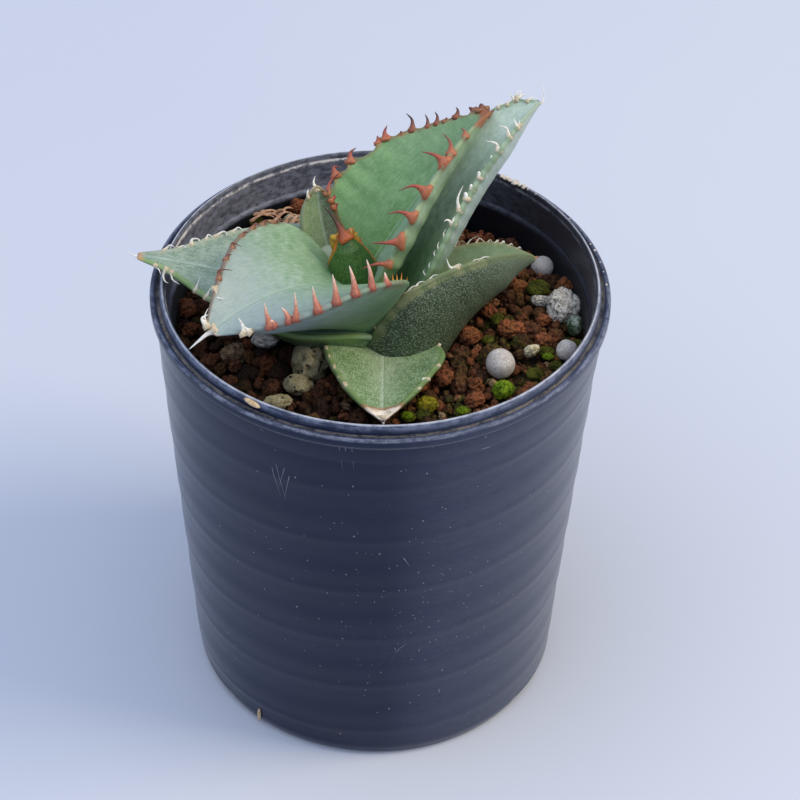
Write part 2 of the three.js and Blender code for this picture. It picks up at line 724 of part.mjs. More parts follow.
const group = new THREE.Group();
group.name = "potted_agave";
for (const [name, solid] of solids) {
  const mesh = solid.getMesh();
  const count = mesh.numVert;
  const positions = new Float32Array(count * 3);
  for (let i = 0; i < count; i++) {
    for (let j = 0; j < 3; j++) positions[i * 3 + j] = mesh.vertProperties[i * mesh.numProp + j];
  }
  const geometry = new THREE.BufferGeometry();
  geometry.setAttribute("position", new THREE.BufferAttribute(positions, 3));
  geometry.setIndex(new THREE.BufferAttribute(new Uint32Array(mesh.triVerts), 1));
  geometry.computeVertexNormals();
  const material = new THREE.MeshStandardMaterial({
    color: COLOURS[name.split("_")[0]],
    roughness: 0.7,
  });
  const node = new THREE.Mesh(geometry, material);
  node.name = name;
  group.add(node);
}

export default group;
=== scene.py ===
"""A young agave in a black nursery pot: the finish of every surface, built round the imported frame.

Lengths in this file are millimetres, and MM turns them into Blender's metres. -Y is the front.
"""
import math
import random

import bmesh
import bpy
import numpy as np
from mathutils import Matrix, Vector
from mathutils.bvhtree import BVHTree


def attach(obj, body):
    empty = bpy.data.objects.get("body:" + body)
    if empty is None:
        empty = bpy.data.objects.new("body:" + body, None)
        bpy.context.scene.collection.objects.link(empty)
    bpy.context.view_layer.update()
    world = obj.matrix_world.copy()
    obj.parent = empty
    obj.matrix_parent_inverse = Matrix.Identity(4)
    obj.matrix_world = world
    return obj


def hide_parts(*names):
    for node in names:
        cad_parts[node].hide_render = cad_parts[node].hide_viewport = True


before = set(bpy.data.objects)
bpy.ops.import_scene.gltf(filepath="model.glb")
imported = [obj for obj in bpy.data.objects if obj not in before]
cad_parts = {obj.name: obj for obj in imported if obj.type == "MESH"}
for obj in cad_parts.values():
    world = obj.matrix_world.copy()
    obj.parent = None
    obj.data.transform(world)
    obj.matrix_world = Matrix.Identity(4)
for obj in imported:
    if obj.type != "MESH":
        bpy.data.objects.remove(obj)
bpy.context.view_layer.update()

MM = 0.001


# Small helpers

def srgb(red, green, blue):
    """A colour given in 0-255 screen values, as the linear values that shaders use."""
    def linear(value):
        value /= 255.0
        return value / 12.92 if value <= 0.04045 else ((value + 0.055) / 1.055) ** 2.4
    return (linear(red), linear(green), linear(blue), 1.0)


def mix(a, b, t):
    return a + (b - a) * t


def smoothstep(low, high, x):
    t = np.clip((x - low) / (high - low), 0.0, 1.0)
    return t * t * (3 - 2 * t)


def lattice(ix, iy, iz, seed):
    h = (ix * 374761393 + iy * 668265263 + iz * 1440662683 + seed * 1274126177) & 0xFFFFFFFF
    h = ((h ^ (h >> 13)) * 1274126177) & 0xFFFFFFFF
    return ((h ^ (h >> 16)) & 0xFFFF) / 32767.5 - 1.0


def value_noise(points, seed=0):
    """Smooth noise from -1 to 1 at each row of points, with cells of size 1."""
    cell = np.floor(points).astype(np.int64)
    f = points - cell
    f = f * f * (3 - 2 * f)
    total = np.zeros(len(points))
    for corner in range(8):
        dx, dy, dz = corner & 1, (corner >> 1) & 1, corner >> 2
        weight = (f[:, 0] if dx else 1 - f[:, 0]) * (f[:, 1] if dy else 1 - f[:, 1])
        weight = weight * (f[:, 2] if dz else 1 - f[:, 2])
        total += weight * lattice(cell[:, 0] + dx, cell[:, 1] + dy, cell[:, 2] + dz, seed)
    return total


def fractal(points, size, octaves=3, seed=0):
    """Several octaves of noise; size is the width of the largest cells."""
    total = np.zeros(len(points))
    reach, share = 0.0, 1.0
    for octave in range(octaves):
        total += share * value_noise(points / size * 2.0 ** octave + 17.3 * octave, seed + octave)
        reach += share
        share *= 0.5
    return total / reach


class Shape:
    """Collects vertices, faces and their attributes, and makes one mesh object of them."""

    def __init__(self):
        self.verts = []
        self.faces = []
        self.slots = []
        self.values = {}
        self.count = 0

    def add(self, verts, faces, slot=0, **values):
        verts = np.asarray(verts, float)
        self.verts.append(verts)
        start = self.count
        self.faces.extend([tuple(start + i for i in face) for face in faces])
        self.slots.extend([slot] * len(faces))
        for name in set(values) | set(self.values):
            rows = self.values.setdefault(name, [])
            missing = start - sum(len(r) for r in rows)
            if missing > 0:
                rows.append(np.zeros(missing))
            rows.append(np.broadcast_to(np.asarray(values.get(name, 0.0), float), (len(verts),)))
        self.count += len(verts)

    def make(self, name, materials, replaces=()):
        mesh = bpy.data.meshes.new(name)
        verts = np.concatenate(self.verts)
        mesh.from_pydata((verts * MM).tolist(), [], self.faces)
        mesh.polygons.foreach_set("material_index", np.array(self.slots, np.int32))
        mesh.polygons.foreach_set("use_smooth", np.full(len(self.faces), True))
        for key, rows in self.values.items():
            layer = mesh.attributes.new(key, "FLOAT", "POINT")
            layer.data.foreach_set("value", np.concatenate(rows).astype(np.float32))
        for material in materials:
            mesh.materials.append(material)
        mesh.update()
        obj = bpy.data.objects.new(name, mesh)
        bpy.context.scene.collection.objects.link(obj)
        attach(obj, "root")
        if replaces:
            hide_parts(*replaces)
        return obj


def tube_faces(rows, columns):
    """Quads round a closed tube of rows, and a fan at each end to the last two vertices."""
    faces = []
    for i in range(rows - 1):
        for k in range(columns):
            a, b = i * columns + k, i * columns + (k + 1) % columns
            faces.append((a, b, b + columns, a + columns))
    end = rows * columns
    for k in range(columns):
        m = (k + 1) % columns
        faces.append((m, k, end))
        faces.append((end - columns + k, end - columns + m, end + 1))
    return faces


def ball(level):
    """An icosphere's unit vertices and faces."""
    bm = bmesh.new()
    bmesh.ops.create_icosphere(bm, subdivisions=level, radius=1.0)
    verts = np.array([v.co[:] for v in bm.verts])
    faces = [tuple(v.index for v in f.verts) for f in bm.faces]
    bm.free()
    return verts, faces


BALLS = {level: ball(level) for level in (1, 2, 3, 4, 5)}


def random_turn(rng):
    """A random rotation matrix."""
    q = rng.normal(size=4)
    q /= np.linalg.norm(q)
    w, x, y, z = q
    return np.array([
        [1 - 2 * (y * y + z * z), 2 * (x * y - z * w), 2 * (x * z + y * w)],
        [2 * (x * y + z * w), 1 - 2 * (x * x + z * z), 2 * (y * z - x * w)],
        [2 * (x * z - y * w), 2 * (y * z + x * w), 1 - 2 * (x * x + y * y)],
    ])


def turn_about(vectors, axes, angles):
    """Turns each row of vectors about the same row of axes."""
    c, s = np.cos(angles)[:, None], np.sin(angles)[:, None]
    along = (vectors * axes).sum(1)[:, None] * axes
    return vectors * c + np.cross(axes, vectors) * s + along * (1 - c)


def unit(rows):
    return rows / np.maximum(np.linalg.norm(rows, axis=-1, keepdims=True), 1e-9)


class Nodes:
    """Builds a material's node tree with one call for each node."""

    SOCKETS = {
        "colour": "Base Color", "roughness": "Roughness", "specular": "Specular IOR Level",
        "normal": "Normal", "sheen": "Sheen Weight", "sheen_roughness": "Sheen Roughness",
        "subsurface": "Subsurface Weight", "subsurface_scale": "Subsurface Scale",
        "subsurface_radius": "Subsurface Radius", "coat": "Coat Weight",
        "coat_roughness": "Coat Roughness", "coat_index": "Coat IOR",
    }

    def __init__(self, name):
        self.material = bpy.data.materials.new(name)
        self.material.use_nodes = True
        self.tree = self.material.node_tree
        self.tree.nodes.clear()
        output = self.tree.nodes.new("ShaderNodeOutputMaterial")
        self.shader = self.tree.nodes.new("ShaderNodeBsdfPrincipled")
        self.tree.links.new(self.shader.outputs[0], output.inputs[0])

    def put(self, socket, value):
        if isinstance(value, bpy.types.NodeSocket):
            self.tree.links.new(value, socket)
        else:
            socket.default_value = value

    def node(self, kind, inputs, **settings):
        """A node with its settings and inputs; gives back the node."""
        made = self.tree.nodes.new("ShaderNode" + kind)
        for key, value in settings.items():
            setattr(made, key, value)
        for key, value in inputs.items():
            self.put(made.inputs[key], value)
        return made

    def set(self, **values):
        for key, value in values.items():
            self.put(self.shader.inputs[self.SOCKETS[key]], value)
        return self.material

    def place_mm(self, scale=(1, 1, 1)):
        """Object coordinates in millimetres."""
        coords = self.node("TexCoord", {}).outputs["Object"]
        return self.node("Mapping", {"Vector": coords, "Scale": [s / MM for s in scale]}).outputs[0]

    def value(self, name):
        return self.node("Attribute", {}, attribute_name=name).outputs["Fac"]

    def vector(self, x, y, z):
        return self.node("CombineXYZ", {0: x, 1: y, 2: z}).outputs[0]

    def noise(self, vector, scale, detail=3.0, rough=0.5, distortion=0.0):
        inputs = {"Vector": vector, "Scale": scale, "Detail": detail, "Roughness": rough,
                  "Distortion": distortion}
        return self.node("TexNoise", inputs).outputs["Fac"]

    def cells(self, vector, scale):
        return self.node("TexVoronoi", {"Vector": vector, "Scale": scale}).outputs["Distance"]

    def math(self, operation, a, b=0.0):
        return self.node("Math", {0: a, 1: b}, operation=operation).outputs[0]

    def plus(self, a, b):
        return self.math("ADD", a, b)

    def less(self, a, b):
        return self.math("SUBTRACT", a, b)

    def times(self, first, *others):
        for other in others:
            first = self.math("MULTIPLY", first, other)
        return first

    def window(self, value, low, high, out_low=0.0, out_high=1.0):
        """A smooth step of value from low to high."""
        inputs = {"Value": value, "From Min": low, "From Max": high, "To Min": out_low, "To Max": out_high}
        return self.node("MapRange", inputs, interpolation_type="SMOOTHSTEP").outputs[0]

    def paint(self, colour):
        """Screen values as shader values; the output of a node stays as it is."""
        return srgb(*colour) if isinstance(colour, tuple) else colour

    def blend(self, a, b, share):
        return self.node("Mix", {0: share, 6: self.paint(a), 7: self.paint(b)}, data_type="RGBA").outputs[2]

    def ramp(self, value, *stops):
        node = self.node("ValToRGB", {0: value})
        elements = node.color_ramp.elements
        while len(elements) < len(stops):
            elements.new(0.5)
        for element, (position, colour) in zip(elements, stops):
            element.position = position
            element.color = self.paint(colour)
        return node.outputs[0]

    def bump(self, height, distance, strength=1.0, normal=None):
        inputs = {"Strength": strength, "Distance": distance * MM, "Height": height}
        if normal is not None:
            inputs["Normal"] = normal
        return self.node("Bump", inputs).outputs[0]


# Camera, at the photo's place and angle

LOOK_AT = Vector((4.327, 0.0, 65.29))
VIEW_DISTANCE = 551.0
VIEW_ELEVATION = math.radians(41.33)
VIEW_ROLL = math.radians(1.427)
FOCAL_PIXELS = 2723.1
PHOTO_PIXELS = 800.0
SENSOR = 36.0

# The camera's axes and place
AHEAD = np.array([0, math.cos(VIEW_ELEVATION), -math.sin(VIEW_ELEVATION)])
PICTURE_UP = np.array([0, math.sin(VIEW_ELEVATION), math.cos(VIEW_ELEVATION)])
PICTURE_RIGHT = np.array([math.cos(VIEW_ROLL), 0, 0]) + math.sin(VIEW_ROLL) * PICTURE_UP
PICTURE_UP = math.cos(VIEW_ROLL) * PICTURE_UP - np.array([math.sin(VIEW_ROLL), 0, 0])
EYE = np.array(LOOK_AT) - AHEAD * VIEW_DISTANCE


def make_camera():
    data = bpy.data.cameras.new("camera")
    data.sensor_width = SENSOR
    data.lens = FOCAL_PIXELS / PHOTO_PIXELS * SENSOR
    data.clip_start = 0.01
    data.clip_end = 20.0
    camera = bpy.data.objects.new("camera", data)
    bpy.context.scene.collection.objects.link(camera)
    basis = Matrix((PICTURE_RIGHT, PICTURE_UP, -AHEAD)).transposed().to_4x4()
    basis.translation = Vector(EYE) * MM
    camera.matrix_world = basis
    bpy.context.scene.camera = camera


def in_picture(points):
    """Where points fall in an 800-wide picture, and how far along the view they lie."""
    away = np.atleast_2d(points) - EYE
    depth = away @ AHEAD
    x = PHOTO_PIXELS / 2 + FOCAL_PIXELS * (away @ PICTURE_RIGHT) / depth
    y = PHOTO_PIXELS / 2 - FOCAL_PIXELS * (away @ PICTURE_UP) / depth
    return np.stack([x, y], 1), depth


def from_picture(x, y, depth):
    across = (x - PHOTO_PIXELS / 2) / FOCAL_PIXELS
    up = (PHOTO_PIXELS / 2 - y) / FOCAL_PIXELS
    return EYE + depth * (AHEAD + across * PICTURE_RIGHT + up * PICTURE_UP)


def on_level(x, y, z):
    """The point at height z that is seen at a place in the picture."""
    ray = from_picture(x, y, 1.0) - EYE
    return EYE + ray * (z - EYE[2]) / ray[2]


# Floor, backdrop and lights

FLOOR_HALF = 6000.0


def make_stage():
    nodes = Nodes("stage_paper")
    cloud = nodes.noise(nodes.place_mm(), 0.004, 2.0)
    nodes.set(colour=nodes.ramp(cloud, (0.35, (199, 205, 220)), (0.65, (202, 208, 222))))
    nodes.set(roughness=0.7, specular=0.25)
    reach = FLOOR_HALF * MM
    mesh = bpy.data.meshes.new("floor")
    corners = [(-reach, -reach, 0), (reach, -reach, 0), (reach, reach, 0), (-reach, reach, 0)]
    mesh.from_pydata(corners, [], [(0, 1, 2, 3)])
    mesh.materials.append(nodes.material)
    floor = bpy.data.objects.new("floor", mesh)
    bpy.context.scene.collection.objects.link(floor)


def area_light(name, azimuth, elevation, distance, size, power, colour):
    """A square lamp that faces the plant; azimuth 0 is +X and 90 is the back."""
    data = bpy.data.lights.new(name, "AREA")
    data.shape = "SQUARE"
    data.size = size * MM
    data.energy = power
    data.color = colour
    lamp = bpy.data.objects.new(name, data)
    bpy.context.scene.collection.objects.link(lamp)
    a, e = math.radians(azimuth), math.radians(elevation)
    away = Vector((math.cos(a) * math.cos(e), math.sin(a) * math.cos(e), math.sin(e)))
    target = Vector((0, 0, 70)) * MM
    lamp.location = target + away * distance * MM
    lamp.rotation_mode = "QUATERNION"
    lamp.rotation_quaternion = away.to_track_quat("Z", "Y")


def make_lights():
    scene = bpy.context.scene
    world = bpy.data.worlds.new("studio")
    world.use_nodes = True
    background = world.node_tree.nodes["Background"]
    background.inputs[0].default_value = (0.82, 0.95, 1.25, 1.0)
    background.inputs[1].default_value = 0.41
    scene.world = world
    area_light("key", -5, 46, 1300, 560, 10.8, (1.0, 0.86, 0.62))
    area_light("top", 215, 74, 1700, 2200, 19.5, (0.9, 0.97, 1.1))
    scene.view_settings.view_transform = "Standard"
    scene.view_settings.look = "None"
    scene.view_settings.exposure = 0.0


# Pot

RIM_RADIUS = 45.0
LEDGE_HEIGHT = 94.5
LIP_TOP = 96.4
LIP_OUTER = 42.9
LIP_INNER = 42.1
GROOVE_DEPTH = 0.9
WALL_BASE = 37.7
WALL_TOP = 44.2
RING_FIRST = 15.0
RING_PITCH = 14.5
RING_JUMP = 0.2
RING_TILT = 2.4
STEP_HEIGHT = 88.6
STEP_RADIUS = 41.0
INNER_BASE = 36.1
FLOOR_THICKNESS = 3.2
FOOT_RECESS = 1.6
FOOT_INNER = 31.9
FOOT_OUTER = 38.0
POT_COLUMNS = 240
STEP_SPREAD = 2.4
NOTCH_AZIMUTHS = (210, 330, 90)
NOTCH_HALF_WIDTH = 5.0
NOTCH_HEIGHT = 2.5
DRAIN_HOLES = 6
DRAIN_RADIUS = 3.2
DRAIN_CIRCLE = 17.0
DRAIN_TURN = math.radians(26)


def wall_radius(z):
    return mix(WALL_BASE, WALL_TOP, z / LEDGE_HEIGHT)


def rounded(profile, radius, steps=3):
    """Each inner corner of an outline turned into a small arc."""
    out = [profile[0]]
    for before, corner, after in zip(profile, profile[1:], profile[2:]):
        a, b, c = (np.array(p, float) for p in (before, corner, after))
        la, lc = np.linalg.norm((a - b)[:2]), np.linalg.norm((c - b)[:2])
        start = b + (a - b) * min(0.45, radius / max(la, 1e-6))
        end = b + (c - b) * min(0.45, radius / max(lc, 1e-6))
        for i in range(steps + 1):
            t = i / steps
            out.append(tuple((1 - t) ** 2 * start + 2 * t * (1 - t) * b + t * t * end))
    out.append(profile[-1])
    return out


def wall_offset(z):
    """How far the wall stands proud of its plain cone: soft steps, and a faint ridge between them."""
    k = (z - RING_FIRST) / RING_PITCH
    nearest = RING_PITCH * (k - round(k))
    share = k - math.floor(k)
    saw = RING_JUMP * (share - 0.5)
    if round(k) in range(6) and abs(nearest) < STEP_SPREAD:
        saw = -RING_JUMP * (0.5 - STEP_SPREAD / RING_PITCH) * math.sin(nearest / STEP_SPREAD * math.pi / 2)
    return saw + 0.08 * math.exp(-((share - 0.52) * RING_PITCH / 1.1) ** 2)


def ring_lean(z):
    """How much of their tilt the rings have at a height: none near the foot and the collar."""
    return float(smoothstep(3, 12, z) * (1 - smoothstep(77, 88, z)))


def pot_profile():
    """The pot's outline as (r, z, lean), from the middle of its foot round to its inner floor."""
    foot = ((0, 0), (6, 0), (6.8, FOOT_RECESS), (31.5, FOOT_RECESS), (32.3, 0), (35.9, 0), (37.1, 0.7),
            (wall_radius(2.6), 2.6))
    heights = [float(z) for z in np.arange(3.4, 88.2, 0.5)]
    wall = [(wall_radius(z) + wall_offset(z), z, ring_lean(z)) for z in heights]
    rim = (
        (wall_radius(88.6) + 0.12, 88.7),
        (wall_radius(91.6) - 0.05, 91.6),
        (RIM_RADIUS - 0.45, 92.35),
        (RIM_RADIUS, 92.8),
        (RIM_RADIUS, LEDGE_HEIGHT - 0.3),
        (RIM_RADIUS - 0.35, LEDGE_HEIGHT),
        (LIP_OUTER + 0.9, LEDGE_HEIGHT - 0.05),
        (LIP_OUTER + 0.72, LEDGE_HEIGHT - GROOVE_DEPTH),
        (LIP_OUTER + 0.3, LEDGE_HEIGHT - GROOVE_DEPTH),
        (LIP_OUTER + 0.12, LIP_TOP - 1.0),
        (LIP_OUTER - 0.22, LIP_TOP),
        (LIP_INNER + 0.2, LIP_TOP),
        (LIP_INNER, LIP_TOP - 0.3),
        (LIP_INNER, LIP_TOP - 1.2),
        (LIP_INNER - 0.27, LIP_TOP - 1.42),
        (LIP_INNER - 0.35, STEP_HEIGHT + 0.4),
        (STEP_RADIUS + 0.3, STEP_HEIGHT),
        (STEP_RADIUS, STEP_HEIGHT - 0.5),
        (STEP_RADIUS - 0.15, STEP_HEIGHT - 3),
        (INNER_BASE, FLOOR_THICKNESS + 1.2),
        (INNER_BASE - 1.1, FLOOR_THICKNESS),
        (0, FLOOR_THICKNESS),
    )
    foot, rim = ([(float(r), float(z), 0.0) for r, z in part] for part in (foot, rim))
    return rounded(foot, 0.35) + wall + rounded(rim, 0.2)


def pot_material():
    """Satin black plastic: dust low in the grooves, scuffs and painted highlights on the rim, limescale on
    the inner collar with painted key light on its left, a painted paler right flank and painted shade below
    the collar.
    """
    nodes = Nodes("pot_plastic")
    window, times = nodes.window, nodes.times
    place = nodes.place_mm()
    radius, height, angle = nodes.value("pr"), nodes.value("pz"), nodes.value("pa")
    broad = nodes.noise(place, 0.045, 3.0)
    fine = nodes.noise(place, 1.2, 4.0, 0.65)
    arc = times(angle, 42.0)
    mottle = nodes.noise(nodes.vector(arc, times(height, 1.5), radius), 0.5, 7.0, 0.74)
    streak = nodes.noise(nodes.vector(times(arc, 0.14), height, radius), 1.6, 4.0, 0.65)
    scuff = nodes.plus(times(mottle, 0.55), times(streak, 0.45))
    dust = times(window(fine, 0.48, 0.72), window(broad, 0.42, 0.68))
    specks = window(nodes.cells(place, 0.2), 0.03, 0.045, 1.0, 0.0)
    # the right flank is painted paler where the key light falls: painted light
    right = window(nodes.math("COSINE", nodes.plus(angle, 0.87)), 0.78, 0.97)
    painted_right_light = times(right, window(scuff, 0.3, 0.6, 0.12, 0.26))
    # scuffed grey on the top of the lip and the edge of the ledge, partly a painted highlight there; a paler
    # band along the top edge of the lip is a painted highlight
    lip = times(window(height, 94.3, 96.4), window(scuff, 0.42, 0.58, 0.25, 1.0))
    crest_highlight = times(window(height, 96.1, 96.35), window(scuff, 0.38, 0.56, 0.3, 1.0))
    edge = times(window(radius, 43.9, 44.6), window(height, 93.9, 94.3))
    groove = times(window(radius, 42.9, 43.1), window(radius, 44.0, 43.75), window(height, 93.2, 93.5),
                   window(height, 94.5, 94.2), window(mottle, 0.4, 0.6, 0.15, 0.95))
    # below the collar the pot's interior is painted nearly black: painted shade
    depth = nodes.less(radius, times(height, (WALL_TOP - WALL_BASE) / LEDGE_HEIGHT))
    interior_shade = window(depth, 35.9, 35.6, 0.0, 0.9)
    # limescale on the inner collar, most on the left where the key light falls on it, so partly painted
    # light; and a pale crust along the small step near its top, partly a painted highlight line
    collar = times(window(radius, 42.3, 42.15), window(height, 87.6, 88.8))
    side = window(nodes.math("COSINE", nodes.less(angle, 2.45)), -0.3, 0.85, 0.12, 1.0)
    lime_and_key_light = times(collar, side, window(mottle, 0.34, 0.64, 0.3, 1.0))
    crust = times(window(height, 94.55, 94.8), window(height, 95.5, 95.2), collar, window(scuff, 0.44, 0.56))
    colour = nodes.ramp(broad, (0.3, (11, 25, 53)), (0.7, (16, 31, 60)))
    for tint, share in (
        ((90, 98, 124), times(dust, 0.12)),
        ((176, 172, 168), times(specks, 0.6)),
        # painted light on the right flank
        ((96, 106, 132), painted_right_light),
        # scuffs with painted highlights on the lip, a painted highlight on its top edge, and on the ledge
        # edge
        ((124, 132, 156), lip),
        ((178, 182, 194), crest_highlight),
        ((122, 128, 148), times(edge, window(scuff, 0.42, 0.6, 0.2, 0.95))),
        ((146, 140, 136), groove),
        # painted shade in the pot's interior
        ((13, 14, 19), interior_shade),
        # limescale with painted key light, then the crust with a painted highlight line
        ((142, 148, 168), times(lime_and_key_light, 0.8)),
        ((206, 202, 202), times(crust, side, 0.9)),
    ):
        colour = nodes.blend(colour, tint, share)
    worn = nodes.math("MAXIMUM", lime_and_key_light, nodes.math("MAXIMUM", lip, edge))
    rough = nodes.plus(window(scuff, 0.35, 0.65, 0.3, 0.4), times(dust, 0.2))
    rough = nodes.plus(rough, times(worn, 0.3))
    grain = nodes.bump(nodes.noise(place, 4.0, 2.0), 0.02, 0.35)
    nodes.set(colour=colour, roughness=rough, specular=0.08, coat=1.0, coat_roughness=0.33, coat_index=1.22)
    return nodes.set(sheen=0.1, sheen_roughness=0.45, normal=nodes.bump(scuff, 0.05, 0.25, grain))


def make_pot():
    profile = pot_profile()
    angles = np.linspace(0, 2 * math.pi, POT_COLUMNS, endpoint=False)
    cos, sin = np.cos(angles), np.sin(angles)
    rows, radii = [], []
    for r, z, lean in profile:
        if r < 1e-6:
            continue
        heights = z + lean * RING_TILT * cos
        if z < NOTCH_HEIGHT and FOOT_INNER < r < FOOT_OUTER:
            for azimuth in NOTCH_AZIMUTHS:
                turn = np.abs((angles - math.radians(azimuth) + math.pi) % (2 * math.pi) - math.pi)
                share = 1 - smoothstep(NOTCH_HALF_WIDTH - 0.5, NOTCH_HALF_WIDTH + 0.5, turn * r)
                heights = heights + share * (NOTCH_HEIGHT - z)
        rows.append(np.stack([r * cos, r * sin, heights], 1))
        radii.append(np.full(POT_COLUMNS, r))
    verts = np.concatenate(rows + [[(0, 0, profile[0][1]), (0, 0, profile[-1][1])]])
    # the seam of the angle lies at the right, where no limescale or painted collar light shows
    turns = np.tile((angles + 0.2) % (2 * math.pi) - 0.2, len(rows))
    shape = Shape()
    shape.add(verts, tube_faces(len(rows), POT_COLUMNS), pr=np.concatenate(radii + [[0, 0]]),
              pz=verts[:, 2], pa=np.append(turns, [0, 0]))
    drill_floor(shape.make("pot_shell", [pot_material()], ["pot"]))


def drill_floor(pot):
    """Cuts the round drain holes through the floor of the pot."""
    rods = bmesh.new()
    for k in range(DRAIN_HOLES):
        angle = 2 * math.pi * k / DRAIN_HOLES + DRAIN_TURN
        spot = Vector((DRAIN_CIRCLE * math.cos(angle), DRAIN_CIRCLE * math.sin(angle), FLOOR_THICKNESS / 2))
        radius = DRAIN_RADIUS * MM
        bmesh.ops.create_cone(rods, cap_ends=True, segments=32, radius1=radius, radius2=radius,
                              depth=3 * FLOOR_THICKNESS * MM, matrix=Matrix.Translation(spot * MM))
    mesh = bpy.data.meshes.new("drain_rods")
    rods.to_mesh(mesh)
    rods.free()
    cutter = bpy.data.objects.new("drain_rods", mesh)
    bpy.context.scene.collection.objects.link(cutter)
    cut = pot.modifiers.new("drain", "BOOLEAN")
    cut.operation = "DIFFERENCE"
    cut.solver = "EXACT"
    cut.object = cutter
    graph = bpy.context.evaluated_depsgraph_get()
    pot.data = bpy.data.meshes.new_from_object(pot.evaluated_get(graph))
    pot.modifiers.clear()
    pot.data.set_sharp_from_angle(angle=math.radians(60))
    bpy.data.objects.remove(cutter)


def plain_material(name, low, high, scale=1.5):
    nodes = Nodes(name)
    fine = nodes.noise(nodes.place_mm(), scale, 4.0, 0.65)
    nodes.set(colour=nodes.ramp(fine, (0.32, low), (0.68, high)), roughness=0.85, specular=0.25)
    return nodes.set(normal=nodes.bump(fine, 0.3, 0.7))


def wall_point(angle, z, lift=0.0):
    """The point of the outer wall at an angle and a height, raised by lift."""
    level = z - ring_lean(z) * RING_TILT * math.cos(angle)
    r = wall_radius(level) + wall_offset(level) + lift
    return np.array([r * math.cos(angle), r * math.sin(angle), z])


def on_wall(x, y):
    """Angle and height of the place on the outer wall that shows at a place in the picture."""
    ray = from_picture(x, y, 1.0) - EYE
    for step in np.linspace(440, 640, 2400):
        at = EYE + ray * step
        if math.hypot(at[0], at[1]) < wall_radius(at[2]):
            return math.atan2(at[1], at[0]), at[2]
    return 0.0, 0.0


# Wear on the pot, at places in the picture. A crust is x, y and size
RIM_CRUMBS = 420
WALL_SPECKS = 240
LIP_CRUST = ((500, 178, 0.5), (503, 180, 0.7), (507, 183, 0.6), (511, 185, 0.75), (515, 188, 0.5),
             (519, 190, 0.55), (524, 192, 0.3), (531, 197, 0.25))
LEDGE_CRUST = ((598, 250, 0.3), (603, 262, 0.2), (606, 285, 0.3), (597, 243, 0.2), (604, 272, 0.18),
               (584, 214, 0.2))
# straw on the rim: x, y, height, half sizes and turn
RIM_FLAKES = ((252, 403, LIP_TOP - 0.3, (2.0, 0.6, 0.4), -0.7),
              (257, 406, LEDGE_HEIGHT + 0.3, (1.5, 0.6, 0.35), -0.5))
FOOT_FLAKE = (260, 714)
# scratches: x and y of both ends
SCRATCHES = ((273, 470, 281, 497), (277, 466, 286, 500), (284, 470, 279, 488), (289, 478, 284, 500),
             (338, 441, 343, 470), (345, 445, 347, 462), (351, 440, 354, 470), (485, 448, 492, 446),
             (262, 430, 269, 437), (405, 560, 410, 566), (398, 650, 408, 642))


def make_wear():
    """Dirt and scratches on the pot: crumbs in the groove, crusts, flakes and fine marks on the wall."""
    rng = np.random.default_rng(5)
    dirt = Shape()
    while dirt.count < len(BALLS[1][0]) * RIM_CRUMBS:
        angle = rng.uniform(0, 2 * math.pi)
        where = np.array([[math.cos(angle) * 5, math.sin(angle) * 5, 0.0]])
        if fractal(where, 1.0, 3, 41)[0] < rng.uniform(-0.5, 0.35):
            continue
        r = rng.uniform(43.15, 43.75)
        verts, faces = lump(rng, 1, 0.4)
        size = rng.uniform(0.07, 0.24)
        z = LEDGE_HEIGHT - GROOVE_DEPTH + size * 0.3
        dirt.add(verts * size + np.array([r * math.cos(angle), r * math.sin(angle), z]), faces)
    dirt.make("rim_dirt", [plain_material("dirt_tan", (104, 88, 72), (176, 162, 142))])
    crust = Shape()
    for places, z, radius, level, flat in ((LIP_CRUST, LIP_TOP - 0.15, 42.35, 3, 0.28),
                                           (LEDGE_CRUST, LEDGE_HEIGHT - 0.1, 44.3, 2, None)):
        for x, y, size in places:
            at = on_level(x, y, z)
            at[:2] *= radius / np.hypot(at[0], at[1])
            verts, faces = lump(rng, level, 0.45)
            crust.add(verts * np.array([size, size, flat or size]) + at, faces)
    crust.make("rim_crust", [plain_material("crust_pale", (184, 172, 154), (228, 222, 212))])
    flakes = Shape()
    for x, y, z, size, turn in RIM_FLAKES:
        verts, faces = lump(rng, 3, 0.3)
        c, s = math.cos(turn), math.sin(turn)
        spin = np.array([[c, s, 0], [-s, c, 0], [0, 0, 1]])
        flakes.add(unit(verts) * np.array(size) @ spin + on_level(x, y, z), faces)
    angle, z = on_wall(*FOOT_FLAKE)
    verts, faces = BALLS[3]
    flakes.add(verts * np.array([0.4, 0.34, 1.9]) + wall_point(angle, max(z, 2.0), 0.3), faces)
    flakes.make("pot_flakes", [plain_material("flake_straw", (168, 136, 98), (224, 204, 172))])
    marks = Shape()
    for x1, y1, x2, y2 in SCRATCHES:
        a, b = on_wall(x1, y1), on_wall(x2, y2)
        line = [wall_point(mix(a[0], b[0], s), mix(a[1], b[1], s), 0.02) for s in np.linspace(0, 1, 14)]
        along = unit(line[-1] - line[0])
        add_spine(marks, line, np.cross(along, [0, 0, 1.0]), 0.07, 0.05, flare=0.0, slot=0)
    for _ in range(WALL_SPECKS):
        x, y = rng.uniform(190, 580), rng.uniform(440, 720)
        if rng.random() > 0.35:
            x, y = rng.normal(430, 70), rng.normal(620, 50)
        angle, z = on_wall(x, y)
        if z < 2:
            continue
        verts, faces = BALLS[1]
        marks.add(verts * rng.uniform(0.05, 0.14) + wall_point(angle, z), faces)
    marks.make("pot_marks", [plain_material("mark_pale", (120, 124, 138), (176, 176, 182))])


# Leaves. base is the foot of the midrib; azimuth, rise, roll and fold are degrees at foot and tip; half is
# the half width at 0, 0.3, 0.6 and 0.85 of the length; share widens side 1 and narrows the other; thick
# is at foot, middle and tip; tip is the half width there; hump is how far the margin swells at a spine;
# lift raises a margin: side, share of the length, height and spread.

